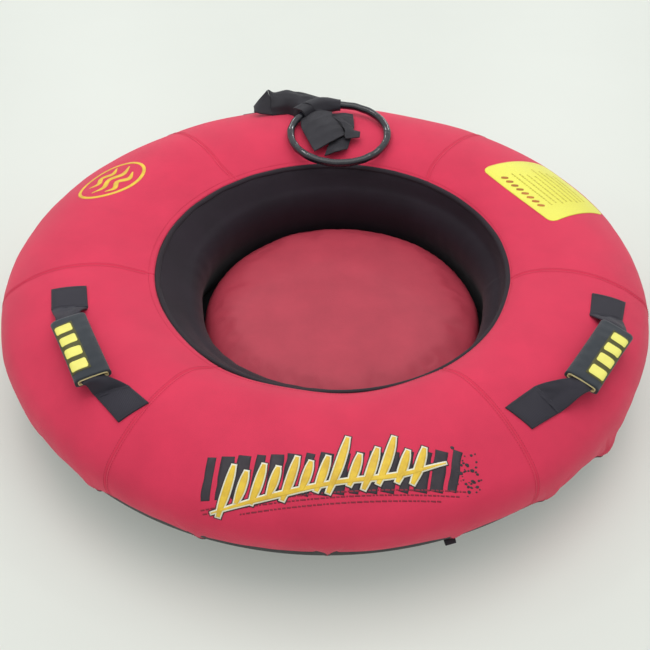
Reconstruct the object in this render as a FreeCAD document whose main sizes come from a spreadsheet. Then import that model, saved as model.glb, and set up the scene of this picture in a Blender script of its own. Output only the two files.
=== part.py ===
"""Towable tube: an inflated ring in a fabric cover, with a padded seat, two handles and a tow ring.

Millimetres, +Z up. The origin is the middle of the flat base, on the floor. The tow ring lies at the
back (+Y), the handles are at the sides of the front half (-Y).
"""
import FreeCAD, Part
import math
import os
import Sketcher
from FreeCAD import Placement, Rotation, Vector

# Driving dimensions: alias, value, meaning. Lengths in mm, angles in degrees.
SIZES = [
    ("outer_radius", 500.0, "widest radius of the cover"),
    ("outer_height", 112.0, "height of the widest radius"),
    ("crest_radius", 360.0, "radius of the highest circle"),
    ("crest_height", 195.0, "height of the highest circle"),
    ("crest_arc", 189.2, "section radius over the crest"),
    ("shoulder_radius", 482.3, "where the crest arc meets the shoulder arc"),
    ("shoulder_height", 150.1, "height of that place"),
    ("shoulder_arc", 50.0, "section radius of the shoulder"),
    ("hem_radius", 479.0, "lower edge of the top cover"),
    ("hem_height", 52.3, "height of that edge"),
    ("hem_arc", 95.1, "section radius below the widest circle"),
    ("rim_radius", 274.5, "inner edge of the top cover"),
    ("rim_height", 174.6, "height of that edge"),
    ("skin", 2.0, "thickness of a cover layer"),
    ("skin_slant", 1.4, "that thickness along each axis where a layer slopes at 45 degrees"),
    ("seam_radius", 477.0, "hem seam between top cover and skirt"),
    ("seam_height", 50.0, "height of the hem seam"),
    ("seam_bead", 2.3, "radius of the binding over the hem seam"),
    ("skirt_radius", 475.0, "upper edge of the skirt"),
    ("skirt_height", 47.6, "height of that edge"),
    ("skirt_arc", 233.0, "section radius of the skirt"),
    ("skirt_foot", 421.0, "lower edge of the skirt"),
    ("foot_height", 3.4, "height of that edge"),
    ("base_radius", 424.0, "radius of the base sheet"),
    ("base_sheet_thickness", 2.5, "thickness of the base sheet"),
    ("bead_circle", 271.4, "centre circle of the rim binding"),
    ("bead_height", 172.7, "height of the rim binding's centre"),
    ("rim_bead", 2.6, "radius of the rim binding"),
    ("wall_top_radius", 268.3, "upper edge of the well wall"),
    ("wall_top_height", 171.0, "height of that edge"),
    ("wall_arc", 132.6, "section radius of the upper wall"),
    ("wall_turn_radius", 227.6, "where the upper wall meets the waist arc"),
    ("wall_turn_height", 138.8, "height of that place"),
    ("waist_arc", 50.0, "section radius of the waist"),
    ("waist_radius", 217.0, "narrowest radius of the well"),
    ("waist_height", 108.0, "height of the narrowest circle"),
    ("wall_low_radius", 224.0, "where the waist ends"),
    ("wall_low_height", 72.0, "height of that place"),
    ("wall_low_arc", 170.0, "section radius of the lower wall"),
    ("wall_foot_radius", 257.0, "lower edge of the wall"),
    ("seat_radius", 221.0, "radius of the seat cover"),
    ("seat_height", 92.0, "height of the middle of the seat"),
    ("seat_flat_radius", 90.0, "radius of the flat middle of the seat"),
    ("seat_shoulder_radius", 208.0, "where the dome meets the rounded edge"),
    ("seat_shoulder_height", 78.0, "height of that place"),
    ("seat_edge_arc", 14.0, "radius of the seat's rounded edge"),
    ("seat_edge_height", 64.0, "height of the foot of the rounded edge"),
    ("seat_hem_height", 30.0, "lower edge of the seat cover"),
    ("seat_skin", 1.6, "thickness of the seat cover"),
    ("tube_circle", 359.0, "centre circle of the inner tube"),
    ("tube_height", 101.0, "height of its centre"),
    ("tube_half_width", 136.5, "half its width"),
    ("tube_half_height", 89.0, "half its height"),
    ("tube_end_arc", 58.0, "section radius at its sides"),
    ("tube_wall", 1.8, "thickness of the rubber"),
    ("tab_length", 50.0, "length of a sewn webbing tab"),
    ("tab_width", 50.0, "width of a sewn webbing tab"),
    ("web_thickness", 2.2, "thickness of the webbing"),
    ("fold_thickness", 4.4, "thickness of the webbing folded double"),
    ("fold_width", 32.0, "width of the webbing folded double"),
    ("neck_width", 5.0, "width of the webbing where it is gathered at a tab"),
    ("neck_height", 3.4, "height of that neck over the cover"),
    ("grip_height", 17.0, "height of the grip's middle over the line between the tabs"),
    ("grip_length", 126.0, "length of a grip"),
    ("grip_width", 46.0, "width of a grip"),
    ("grip_depth", 18.0, "thickness of a grip"),
    ("grip_round", 7.0, "corner radius of a grip"),
    ("grip_foam", 4.0, "thickness of the grip foam"),
    ("lining_thickness", 1.0, "thickness of the grip lining"),
    ("mark_length", 20.0, "length of a yellow mark along the grip"),
    ("mark_pitch", 25.8, "distance from mark to mark"),
    ("mark_thickness", 0.8, "thickness of a yellow mark"),
    ("patch_length", 168.0, "length of the yellow patch"),
    ("patch_width", 140.0, "width of the yellow patch"),
    ("patch_thickness", 1.0, "thickness of the yellow patch"),
    ("ring_circle", 83.0, "centre circle of the tow ring"),
    ("ring_bar", 6.5, "radius of the tow ring's bar"),
    ("loop_inside", 7.4, "inner radius of the strap loop round the bar"),
    ("loop_outside", 10.0, "outer radius of that loop"),
    ("loop_sweep", 50.0, "part of the ring that the loop covers"),
    ("strap_width", 76.0, "width of the tow strap"),
    ("strap_thickness", 2.6, "thickness of the tow strap"),
    ("strap_sweep", 8.8, "part of the hem that the sewn strap covers"),
    ("bundle_thickness", 17.0, "thickness of the folded strap"),
    ("tail_thickness", 11.0, "thickness of the strap's folded tail"),
    ("anchor_top_radius", 474.3, "upper end of the sewn strap"),
    ("anchor_top_height", 156.8, "height of that end"),
    ("anchor_foot_radius", 480.8, "lower end of the sewn strap"),
    ("anchor_foot_height", 54.3, "height of that end"),
    ("slab_foot_radius", 472.3, "where the folded strap leaves the sewn one"),
    ("slab_foot_height", 160.5, "height of that place"),
    ("slab_outer_radius", 422.0, "outer edge of the folded strap's top"),
    ("slab_inner_radius", 388.0, "inner edge of the folded strap"),
    ("slab_belly_radius", 433.0, "where the folded strap's underside leaves the crest"),
    ("slab_belly_height", 184.0, "height of that place"),
    ("strap_step", 1.9, "thickness of the strap along each axis where it slopes at 45 degrees"),
    ("lay_gap", 0.1, "gap under a piece that lies on the cover"),
    ("zip_sweep", 50.0, "part of the skirt that the zip covers"),
    ("zip_top_radius", 462.2, "upper edge of the zip's tapes"),
    ("zip_top_height", 33.5, "height of that edge"),
    ("zip_foot_radius", 443.1, "lower edge of the zip's tapes"),
    ("zip_foot_height", 17.2, "height of that edge"),
    ("zip_step_out", 0.9, "thickness of the tapes along the radius"),
    ("zip_step_down", 1.1, "thickness of the tapes along the height"),
    ("zip_middle_radius", 451.0, "radius of the zip's row of teeth"),
    ("slider_lift", 2.2, "height of the slider over the skirt"),
    ("slider_length", 16.0, "length of the zip slider"),
    ("slider_width", 12.0, "width of the zip slider"),
    ("slider_height", 5.0, "height of the zip slider"),
    ("pull_length", 34.0, "length of the zip pull"),
    ("pull_width", 10.0, "width of the zip pull"),
    ("pull_thickness", 2.4, "thickness of the zip pull"),
    ("valve_flange_radius", 26.0, "radius of the flange bonded to the inner tube"),
    ("valve_body_radius", 12.5, "radius of the valve's threaded body"),
    ("valve_bore", 8.5, "radius of the air way"),
    ("valve_body_length", 16.0, "length of the valve body"),
    ("valve_stand", 4.0, "how far the valve body stands out of the skirt"),
    ("valve_flange_depth", 5.4, "depth of the flange's inner face under the skirt"),
    ("valve_flange_thickness", 1.8, "thickness of the flange"),
    ("valve_flap_radius", 10.5, "radius of the rubber flap over the air way"),
    ("valve_flap_thickness", 1.2, "thickness of that flap"),
    ("tether_circle", 14.1, "centre circle of the cap's tether ring"),
    ("tether_bar", 1.4, "radius of the tether ring's bar"),
    ("tether_height", 1.9, "height of the tether ring over the skirt"),
    ("valve_cap_radius", 15.5, "radius of the valve cap"),
    ("valve_cap_height", 7.0, "height of the valve cap"),
    ("hem_tab_width", 16.0, "width of the small loop under the hem"),
    ("hem_tab_start", 479.6, "radius where the small loop is sewn in"),
    ("hem_tab_reach", 488.3, "radius of the small loop's free end"),
]
VALUE = {alias: value for alias, value, _ in SIZES}

# Azimuths of the radial seams between the cover panels, and the panel that starts at each one.
PANELS = [
    ("cover_front", 234.5, 70.0),
    ("cover_front_right", 304.5, 48.5),
    ("cover_rear_right", 353.0, 61.0),
    ("cover_back", 54.0, 72.0),
    ("cover_rear_left", 126.0, 60.0),
    ("cover_front_left", 186.0, 48.5),
]
SEAM_GAP = 0.06          # degrees left between two panels
# Handles: name, azimuth and radius of the middle of the line between the sewn tabs, turn of that line
# away from the tangent, half the free span, and how far the grip's middle lies along and out from it.
HANDLES = [
    ("handle_left", 214.0, 389.0, -7.4, 91.0, -12.0, 20.0),
    ("handle_right", 327.0, 413.0, 1.4, 104.0, -12.0, 31.0),
]
GRIP_TILT = -7.0        # degrees, outer edge down
RING_CENTRE = Vector(21.7, 320.5, 201.6)
RING_TILT = 4.0          # degrees, far edge up
LOOP_START = 92.0        # azimuth on the ring where the strap loop starts
STRAP_AZIMUTH = 103.5    # middle of the sewn strap at the back
# The folded strap's outline where it bridges to the ring, and that of its loose end, from above.
STRAP_BRIDGE = [(-80, 402), (-64, 388), (-27, 415.5), (4, 427), (-8, 450), (-72, 456)]
STRAP_TAIL = [(-33, 352), (-16, 290), (34, 286), (52, 318), (44, 366), (4, 382)]
ZIP_START = 15.0
SLIDER_AZIMUTH = 17.5
VALVE_AZIMUTH = 140.0
VALVE_RADIUS = 450.0
HEM_TAB_AZIMUTH = 290.8
PATCH_AZIMUTH = 26.6
PATCH_RADIUS = 411.0
PATCH_TURN = 6.4
HULL_GAP = 0.4           # clearance between pieces on different bodies
NECK_GAP = 1.0           # from a tab to the handle's webbing
GRIP_END = 3.0           # webbing that stays flat past each end of a grip
MARKS = 4                # yellow marks on a grip
MARK_DOWN = 1.0          # how far a mark runs down the outer edge, past the middle
MARK_ACROSS = 2.0        # how far it runs over the top, past the middle
PULL_GAP = 1.0           # from the slider to the pull's end
PULL_LIFT = 1.2          # the pull's underside over the slider's
SLIDER_ROUND = 1.2       # radius of the slider's edges
CAP_ROUND = 1.5          # radius of the valve cap's edges
WAY_LENGTH = 40.0        # length of the cutting cylinders for the valve
SEWN_REACH = 60.0        # height of the boxes that sewn pieces are cut out with

doc = FreeCAD.newDocument("towable_tube")
sheet = doc.addObject("Spreadsheet::Sheet", "Sizes")
nodes = []


def fill_sheet():
    for row, (alias, value, meaning) in enumerate(SIZES, start=1):
        sheet.set("A%d" % row, alias)
        sheet.set("B%d" % row, str(value))
        sheet.set("C%d" % row, meaning)
        sheet.setAlias("B%d" % row, alias)
    doc.recompute()


def words(formula):
    """A formula is aliases and plain numbers joined by + and -, with spaces between."""
    return formula.split()


def number(formula):
    total, sign = 0.0, 1.0
    for word in words(formula):
        if word in ("+", "-"):
            sign = 1.0 if word == "+" else -1.0
        else:
            total += sign * (VALUE[word] if word in VALUE else float(word))
            sign = 1.0
    return total


def expression(formula):
    return " ".join("Sizes." + word if word in VALUE else word for word in words(formula))


def bind(thing, **formulas):
    """Bind properties of an object to the sheet."""
    for name, formula in formulas.items():
        thing.setExpression(name, expression(formula))
    return thing


def node(thing, name):
    """Mark an object as a sub-part: its label names its file."""
    thing.Label = name
    nodes.append(thing)
    return thing


def hold_point(sketch, element, end, across, up):
    """Hold an end of an element at two distances from the sketch's origin."""
    for kind, formula, axis in (("DistanceX", across, -2), ("DistanceY", up, -1)):
        size = number(formula)
        if abs(size) < 1e-9:
            sketch.addConstraint(Sketcher.Constraint("PointOnObject", element, end, axis))
            continue
        places = (-1, 1, element, end) if size > 0 else (element, end, -1, 1)
        at = sketch.addConstraint(Sketcher.Constraint(kind, *places, abs(size)))
        text = expression(formula) if size > 0 else "-(" + expression(formula) + ")"
        sketch.setExpression("Constraints[%d]" % at, text)


def bend_centre(start, end, radius, turns_left):
    """The centre of the minor arc of that radius from start to end."""
    along = end - start
    rise = math.sqrt(max(radius ** 2 - (along.Length / 2) ** 2, 0.0))
    side = Vector(-along.y, along.x, 0).normalize() * (1 if turns_left else -1)
    return (start + end) * 0.5 + side * rise


def outline(sketch, corners):
    """Close a chain of lines and arcs. A corner is (across, up) or (across, up, bend), each a formula;
    bend is the radius of the arc that leaves it: '< r' turns left, '> r' turns right."""
    places = [Vector(number(c[0]), number(c[1]), 0) for c in corners]
    count = len(corners)
    for i, corner in enumerate(corners):
        start, end = places[i], places[(i + 1) % count]
        if len(corner) == 2:
            sketch.addGeometry(Part.LineSegment(start, end), False)
            continue
        left = corner[2][0] == "<"
        radius = number(corner[2][2:])
        centre = bend_centre(start, end, radius, left)
        first = math.atan2(start.y - centre.y, start.x - centre.x)
        last = math.atan2(end.y - centre.y, end.x - centre.x)
        circle = Part.Circle(centre, Vector(0, 0, 1), radius)
        spans = (first, last) if left else (last, first)
        sketch.addGeometry(Part.ArcOfCircle(circle, *spans), False)
    ends = [(1, 2) if len(c) == 2 or c[2][0] == "<" else (2, 1) for c in corners]
    for i, corner in enumerate(corners):
        after = (i + 1) % count
        sketch.addConstraint(Sketcher.Constraint("Coincident", i, ends[i][1], after, ends[after][0]))
        hold_point(sketch, i, ends[i][0], corner[0], corner[1])
        if len(corner) == 3:
            radius = corner[2][2:]
            at = sketch.addConstraint(Sketcher.Constraint("Radius", i, number(radius)))
            sketch.setExpression("Constraints[%d]" % at, expression(radius))


def plain(corners):
    """Outline corners given as numbers, as formulas."""
    return [("%.3f" % corner[0], "%.3f" % corner[1]) + tuple(corner[2:]) for corner in corners]


def new_body(name, placement=Placement()):
    body = doc.addObject("PartDesign::Body", name)
    body.Placement = placement
    return body


def new_sketch(body, name, plane):
    sketch = body.newObject("Sketcher::SketchObject", name)
    origin = [f for f in body.Origin.OriginFeatures if f.Role == plane][0]
    sketch.AttachmentSupport = [(origin, "")]
    sketch.MapMode = "FlatFace"
    return sketch


def turned(name, corners, sweep="360", start=0.0):
    """A body turned round +Z from a section in the XZ plane, starting at an azimuth."""
    body = new_body(name, Placement(Vector(), Rotation(Vector(0, 0, 1), start)))
    sketch = new_sketch(body, name + "_section", "XZ_Plane")
    outline(sketch, corners)
    turn = body.newObject("PartDesign::Revolution", name + "_turn")
    turn.Profile = sketch
    turn.ReferenceAxis = (sketch, ["V_Axis"])
    bind(turn, Angle=sweep)
    sketch.Visibility = False
    return body


def padded(name, corners, length, placement=Placement(), plane="XY_Plane", midplane=False):
    """A body padded from an outline."""
    body = new_body(name, placement)
    sketch = new_sketch(body, name + "_outline", plane)
    outline(sketch, corners)
    pad = body.newObject("PartDesign::Pad", name + "_pad")
    pad.Profile = sketch
    pad.Midplane = midplane
    bind(pad, Length=length)
    return body


def cover_height(radius):
    """Height of the cover's surface over a radius between the rim and the shoulder."""
    drop = VALUE["crest_arc"] - math.sqrt(VALUE["crest_arc"] ** 2 - (radius - VALUE["crest_radius"]) ** 2)
    return VALUE["crest_height"] - drop


def cover_frame(azimuth, radius, turn=0.0, lift=0.0):
    """A frame on the cover's surface: +z along its normal, +y outward, +x against the azimuth."""
    slope = math.degrees(math.asin((radius - VALUE["crest_radius"]) / VALUE["crest_arc"]))
    place = Placement(Vector(), Rotation(Vector(0, 0, 1), azimuth - 90))
    place *= Placement(Vector(0, radius, cover_height(radius)), Rotation())
    place *= Placement(Vector(), Rotation(Vector(1, 0, 0), -slope))
    place *= Placement(Vector(0, 0, lift), Rotation(Vector(0, 0, 1), turn))
    return place


def skirt_frame(azimuth, radius, lift=0.0):
    """A frame on the skirt: +z along its outward and downward normal, +y down the slope."""
    run = VALUE["skirt_radius"] - VALUE["skirt_foot"]
    fall = VALUE["skirt_height"] - VALUE["foot_height"]
    share = (VALUE["skirt_radius"] - radius) / run
    bulge = (run ** 2 + fall ** 2) / (2 * VALUE["skirt_arc"]) * share * (1 - share)
    slope = math.degrees(math.atan2(fall, run))
    place = Placement(Vector(), Rotation(Vector(0, 0, 1), azimuth - 90))
    place *= Placement(Vector(0, radius, VALUE["skirt_height"] - share * fall), Rotation())
    place *= Placement(Vector(), Rotation(Vector(1, 0, 0), slope + 180))
    place *= Placement(Vector(0, 0, bulge + lift), Rotation())
    return place


def make_cover_panels():
    section = [
        ("rim_radius", "rim_height", "> crest_arc"),
        ("shoulder_radius", "shoulder_height", "> shoulder_arc"),
        ("outer_radius", "outer_height", "> hem_arc"),
        ("hem_radius", "hem_height"),
        ("hem_radius - skin_slant", "hem_height + skin_slant", "< hem_arc - skin"),
        ("outer_radius - skin", "outer_height", "< shoulder_arc - skin"),
        ("shoulder_radius - skin_slant", "shoulder_height - skin_slant", "< crest_arc - skin"),
        ("rim_radius + 1", "rim_height - skin_slant"),
    ]
    for name, start, sweep in PANELS:
        node(turned(name, section, str(sweep - SEAM_GAP), start + SEAM_GAP / 2), name)


def make_lower_cover():
    skirt = [
        ("skirt_radius", "skirt_height", "> skirt_arc"),
        ("skirt_foot", "foot_height"),
        ("skirt_foot - skin_slant", "foot_height + skin_slant", "< skirt_arc - skin"),
        ("skirt_radius - skin_slant", "skirt_height + skin_slant"),
    ]
    node(turned("bottom_skirt", skirt), "bottom_skirt")
    base = [("0", "0"), ("base_radius", "0"), ("base_radius", "base_sheet_thickness"),
            ("0", "base_sheet_thickness")]
    node(turned("base_sheet", base), "base_sheet")
    wall = [
        ("wall_top_radius", "wall_top_height", "< wall_arc"),
        ("wall_turn_radius", "wall_turn_height", "< waist_arc"),
        ("waist_radius", "waist_height", "< waist_arc + waist_arc"),
        ("wall_low_radius", "wall_low_height", "< wall_low_arc"),
        ("wall_foot_radius", "base_sheet_thickness + 0.2"),
        ("wall_foot_radius + skin", "base_sheet_thickness + 0.2", "> wall_low_arc"),
        ("wall_low_radius + skin", "wall_low_height", "> waist_arc + waist_arc"),
        ("waist_radius + skin", "waist_height", "> waist_arc - skin"),
        ("wall_turn_radius + skin_slant", "wall_turn_height - skin_slant", "> wall_arc"),
        ("wall_top_radius + 1", "wall_top_height - skin_slant"),
    ]
    for panel, start, sweep in PANELS:
        name = panel.replace("cover", "wall")
        node(turned(name, wall, str(sweep - SEAM_GAP), start + SEAM_GAP / 2), name)
    for name, circle, bead, height in (
            ("rim_binding", "bead_circle", "rim_bead", "bead_height"),
            ("hem_binding", "seam_radius", "seam_bead", "seam_height")):
        ring = bind(doc.addObject("Part::Torus", name), Radius1=circle, Radius2=bead)
        ring.setExpression("Placement.Base.z", expression(height))
        node(ring, name)


def make_seat():
    cover = [
        ("0", "seat_height"),
        ("seat_flat_radius", "seat_height"),
        ("seat_shoulder_radius", "seat_shoulder_height", "> seat_edge_arc"),
        ("seat_radius", "seat_edge_height"),
        ("seat_radius", "seat_hem_height"),
        ("seat_radius - seat_skin", "seat_hem_height"),
        ("seat_radius - seat_skin", "seat_edge_height", "< seat_edge_arc"),
        ("seat_shoulder_radius", "seat_shoulder_height - seat_skin"),
        ("seat_flat_radius", "seat_height - seat_skin"),
        ("0", "seat_height - seat_skin"),
    ]
    node(turned("seat_cover", cover), "seat_cover")
    inset = " - seat_skin - 0.3"
    foam = [
        ("0", "seat_height" + inset),
        ("seat_flat_radius", "seat_height" + inset),
        ("seat_shoulder_radius", "seat_shoulder_height" + inset, "> seat_edge_arc"),
        ("seat_radius" + inset, "seat_edge_height - seat_skin"),
        ("seat_radius" + inset, "base_sheet_thickness + 0.2"),
        ("0", "base_sheet_thickness + 0.2"),
    ]
    node(turned("seat_foam", foam), "seat_foam")


def oval(inset):
    """The inner tube's section as four tangent arcs, moved inward by inset."""
    half_width, half_height = VALUE["tube_half_width"], VALUE["tube_half_height"]
    end = VALUE["tube_end_arc"]
    flat = (half_width ** 2 + half_height ** 2 - 2 * half_width * end) / (2 * (half_height - end))
    reach, depth = half_width - end, flat - half_height
    away = math.hypot(reach, depth)
    across = reach + (end - inset) * reach / away
    up = (end - inset) * depth / away
    corners = []
    for side, level, radius in ((1, 1, end), (1, -1, flat), (-1, -1, end), (-1, 1, flat)):
        corners.append(("tube_circle + %.4f" % (side * across), "tube_height + %.4f" % (level * up),
                        "> %.4f" % (radius - inset)))
    return [(a.replace("+ -", "- "), b.replace("+ -", "- "), c) for a, b, c in corners]


def make_inner_tube():
    outside = turned("tube_outside", oval(0.0))
    inside = turned("tube_inside", oval(VALUE["tube_wall"]))
    tube = doc.addObject("Part::Cut", "inner_tube")
    tube.Base, tube.Tool = outside, inside
    node(tube, "inner_tube")


def cover_shell(name, thickness):
    """A shell lying on the crest arc, from which sewn pieces are cut."""
    tori = []
    for part, radius in (("under", "crest_arc"), ("over", "crest_arc + " + thickness)):
        torus = bind(doc.addObject("Part::Torus", name + "_" + part), Radius1="crest_radius", Radius2=radius)
        torus.setExpression("Placement.Base.z", expression("crest_height - crest_arc"))
        tori.append(torus)
    shell = doc.addObject("Part::Cut", name)
    shell.Base, shell.Tool = tori[1], tori[0]
    return shell


def sewn(name, thickness, frames, length, width):
    """Flat pieces sewn on the cover: parts of a shell inside boxes set on the surface."""
    boxes = []
    for i, frame in enumerate(frames):
        box = doc.addObject("Part::Box", "%s_box_%d" % (name, i))
        bind(box, Length=length, Width=width)
        box.Height = SEWN_REACH
        middle = Vector(-number(length) / 2, -number(width) / 2, -SEWN_REACH / 2)
        box.Placement = frame * Placement(middle, Rotation())
        boxes.append(box)
    if len(boxes) > 1:
        both = doc.addObject("Part::Fuse", name + "_boxes")
        both.Base, both.Tool = boxes
        boxes = [both]
    piece = doc.addObject("Part::Common", name)
    piece.Base, piece.Tool = cover_shell(name + "_shell", thickness), boxes[0]
    return node(piece, name)


def shifted(frame, along, across=0.0):
    return frame * Placement(Vector(along, across, 0), Rotation())


def web_section(name, width, frame):
    """A cross-section of the doubled webbing, square to x."""
    flat = bind(doc.addObject("Part::Plane", name), Length="fold_thickness", Width=width)
    corner = Vector(-VALUE["fold_thickness"] / 2, -VALUE[width] / 2, 0)
    flat.Placement = frame * Placement(Vector(), Rotation(Vector(0, 1, 0), 90)) * Placement(corner, Rotation())
    return flat


def make_handle(name, azimuth, radius, turn, reach, along, out):
    frame = cover_frame(azimuth, radius, turn)
    step = reach + VALUE["tab_length"] / 2
    sewn(name + "_tabs", "web_thickness", [shifted(frame, step), shifted(frame, -step)],
         "tab_length", "tab_width")
    centre = frame * Placement(Vector(along, out, VALUE["grip_height"]), Rotation(Vector(1, 0, 0), GRIP_TILT))
    # The free span rises from one tab, goes through the grip and comes down to the other.
    # It is gathered to a narrow neck at each tab, where it bends as the handle swings.
    pivot = frame * Placement(Vector(0, 0, VALUE["neck_height"]), Rotation())
    half, end = VALUE["grip_length"] / 2 + GRIP_END, reach - NECK_GAP
    stops = [("neck_width", shifted(pivot, -end)), ("fold_width", shifted(centre, -half)),
             ("fold_width", shifted(centre, half)), ("neck_width", shifted(pivot, end))]
    web = doc.addObject("Part::Loft", name + "_web")
    web.Sections = [web_section("%s_section_%d" % (name, i), *stop) for i, stop in enumerate(stops)]
    web.Solid = web.Ruled = True
    node(web, name + "_web")
    sleeves = (("_grip", 0.0, VALUE["grip_foam"]),
               ("_lining", VALUE["grip_foam"] + 0.05, VALUE["grip_foam"] + VALUE["lining_thickness"]))
    for suffix, outside, inside in sleeves:
        node(sleeve(name + suffix, outside, inside, centre), name + suffix)
    node(grip_marks(name + "_marks", centre), name + "_marks")


def round_corner_loop(half_width, half_depth, corner, inset):
    """A rounded rectangle about the origin, as outline corners, moved inward by inset."""
    wide, deep, arc = half_width - inset, half_depth - inset, max(corner - inset, 0.8)
    loop = []
    for x, y, first in ((1, 1, "x"), (-1, 1, "y"), (-1, -1, "x"), (1, -1, "y")):
        ends = {"x": (x * wide, y * (deep - arc)), "y": (x * (wide - arc), y * deep)}
        second = "y" if first == "x" else "x"
        loop.append(ends[first] + ("< %.3f" % arc,))
        loop.append(ends[second])
    return plain(loop)


def sleeve(name, outside, inside, frame):
    """A flat tube along x, with rounded corners."""
    tubes = []
    for part, inset in (("outer", outside), ("inner", inside)):
        loop = round_corner_loop(VALUE["grip_width"] / 2, VALUE["grip_depth"] / 2, VALUE["grip_round"], inset)
        tubes.append(padded(name + "_" + part, loop, "grip_length", frame, "YZ_Plane", True))
    cut = doc.addObject("Part::Cut", name)
    cut.Base, cut.Tool = tubes
    return cut


def grip_marks(name, frame):
    """Thin marks over the outer edge of a grip."""
    wide, deep = VALUE["grip_width"] / 2, VALUE["grip_depth"] / 2
    arc, thick = VALUE["grip_round"], VALUE["mark_thickness"]
    loop = [(wide, -MARK_DOWN), (wide + thick, -MARK_DOWN),
            (wide + thick, deep - arc, "< %.3f" % (arc + thick)),
            (wide - arc, deep + thick), (-MARK_ACROSS, deep + thick), (-MARK_ACROSS, deep),
            (wide - arc, deep, "> %.3f" % arc), (wide, deep - arc)]
    first = -(MARKS - 1) / 2 * VALUE["mark_pitch"] - VALUE["mark_length"] / 2
    start = frame * Placement(Vector(first, 0, 0), Rotation())
    body = padded(name, plain(loop), "mark_length", start, "YZ_Plane")
    doc.recompute()
    pattern = body.newObject("PartDesign::LinearPattern", name + "_pattern")
    pattern.Originals = [body.Tip]
    pattern.Direction = ([f for f in body.Origin.OriginFeatures if f.Role == "X_Axis"][0], [""])
    pattern.Length = (MARKS - 1) * VALUE["mark_pitch"]
    pattern.Occurrences = MARKS
    body.Tip = pattern
    return body


def make_tow_strap():
    """The strap sewn down the back, its folded part on the crest, and its loose end inside the ring."""
    anchor = [
        ("anchor_top_radius", "anchor_top_height"),
        ("shoulder_radius + lay_gap", "shoulder_height + lay_gap", "> shoulder_arc"),
        ("outer_radius + lay_gap", "outer_height", "> hem_arc"),
        ("anchor_foot_radius", "anchor_foot_height"),
        ("anchor_foot_radius + strap_step", "anchor_foot_height - strap_step", "< hem_arc + strap_thickness"),
        ("outer_radius + strap_thickness", "outer_height", "< shoulder_arc + strap_thickness"),
        ("shoulder_radius + strap_step", "shoulder_height + strap_step"),
        ("anchor_top_radius + strap_step", "anchor_top_height + strap_step"),
    ]
    node(turned("tow_anchor", anchor, "strap_sweep", STRAP_AZIMUTH - VALUE["strap_sweep"] / 2), "tow_anchor")
    side = [
        ("slab_foot_radius", "slab_foot_height"),
        ("slab_foot_radius", "slab_foot_height + strap_thickness"),
        ("slab_outer_radius", "crest_height + bundle_thickness"),
        ("slab_inner_radius", "crest_height + bundle_thickness"),
        ("slab_inner_radius", "crest_height - lay_gap - lay_gap"),
        ("slab_belly_radius", "slab_belly_height", "> crest_arc + crest_arc"),
    ]
    frame = Placement(Vector(), Rotation(Vector(0, 0, 1), STRAP_AZIMUTH))
    slab = padded("strap_slab", side, "strap_width", frame, "XZ_Plane", True)
    floor = Placement(Vector(0, 0, VALUE["crest_height"] - HULL_GAP), Rotation())
    deck = padded("strap_bridge", plain(STRAP_BRIDGE), "bundle_thickness", floor)
    strap = doc.addObject("Part::Fuse", "tow_strap")
    strap.Base, strap.Tool = slab, deck
    node(strap, "tow_strap")
    rest = Placement(Vector(0, 0, VALUE["crest_height"] + HULL_GAP), Rotation())
    node(padded("tow_tail", plain(STRAP_TAIL), "tail_thickness", rest), "tow_tail")


def make_tow_ring():
    """The ring, lying on the crest, and the strap's loop round its bar."""
    lie = Placement(RING_CENTRE, Rotation(Vector(1, 0, 0), RING_TILT))
    ring = bind(doc.addObject("Part::Torus", "tow_ring"), Radius1="ring_circle", Radius2="ring_bar")
    ring.Placement = lie
    node(ring, "tow_ring")
    halves = []
    for name, radius in (("loop_over", "loop_outside"), ("loop_under", "loop_inside")):
        half = bind(doc.addObject("Part::Torus", name), Radius1="ring_circle", Radius2=radius,
                    Angle3="loop_sweep")
        half.Placement = lie * Placement(Vector(), Rotation(Vector(0, 0, 1), LOOP_START))
        halves.append(half)
    loop = doc.addObject("Part::Cut", "tow_loop")
    loop.Base, loop.Tool = halves
    node(loop, "tow_loop")


def make_patches():
    sewn("yellow_patch", "patch_thickness", [cover_frame(PATCH_AZIMUTH, PATCH_RADIUS, PATCH_TURN)],
         "patch_length", "patch_width")
    frame = Placement(Vector(), Rotation(Vector(0, 0, 1), HEM_TAB_AZIMUTH))
    tab = [
        ("hem_tab_start", "seam_height + 1"),
        ("hem_tab_reach", "seam_height - 7"),
        ("hem_tab_reach - 1", "seam_height - 10"),
        ("hem_tab_start", "seam_height - 3"),
    ]
    node(padded("hem_tab", tab, "hem_tab_width", frame, "XZ_Plane", True), "hem_tab")


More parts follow.
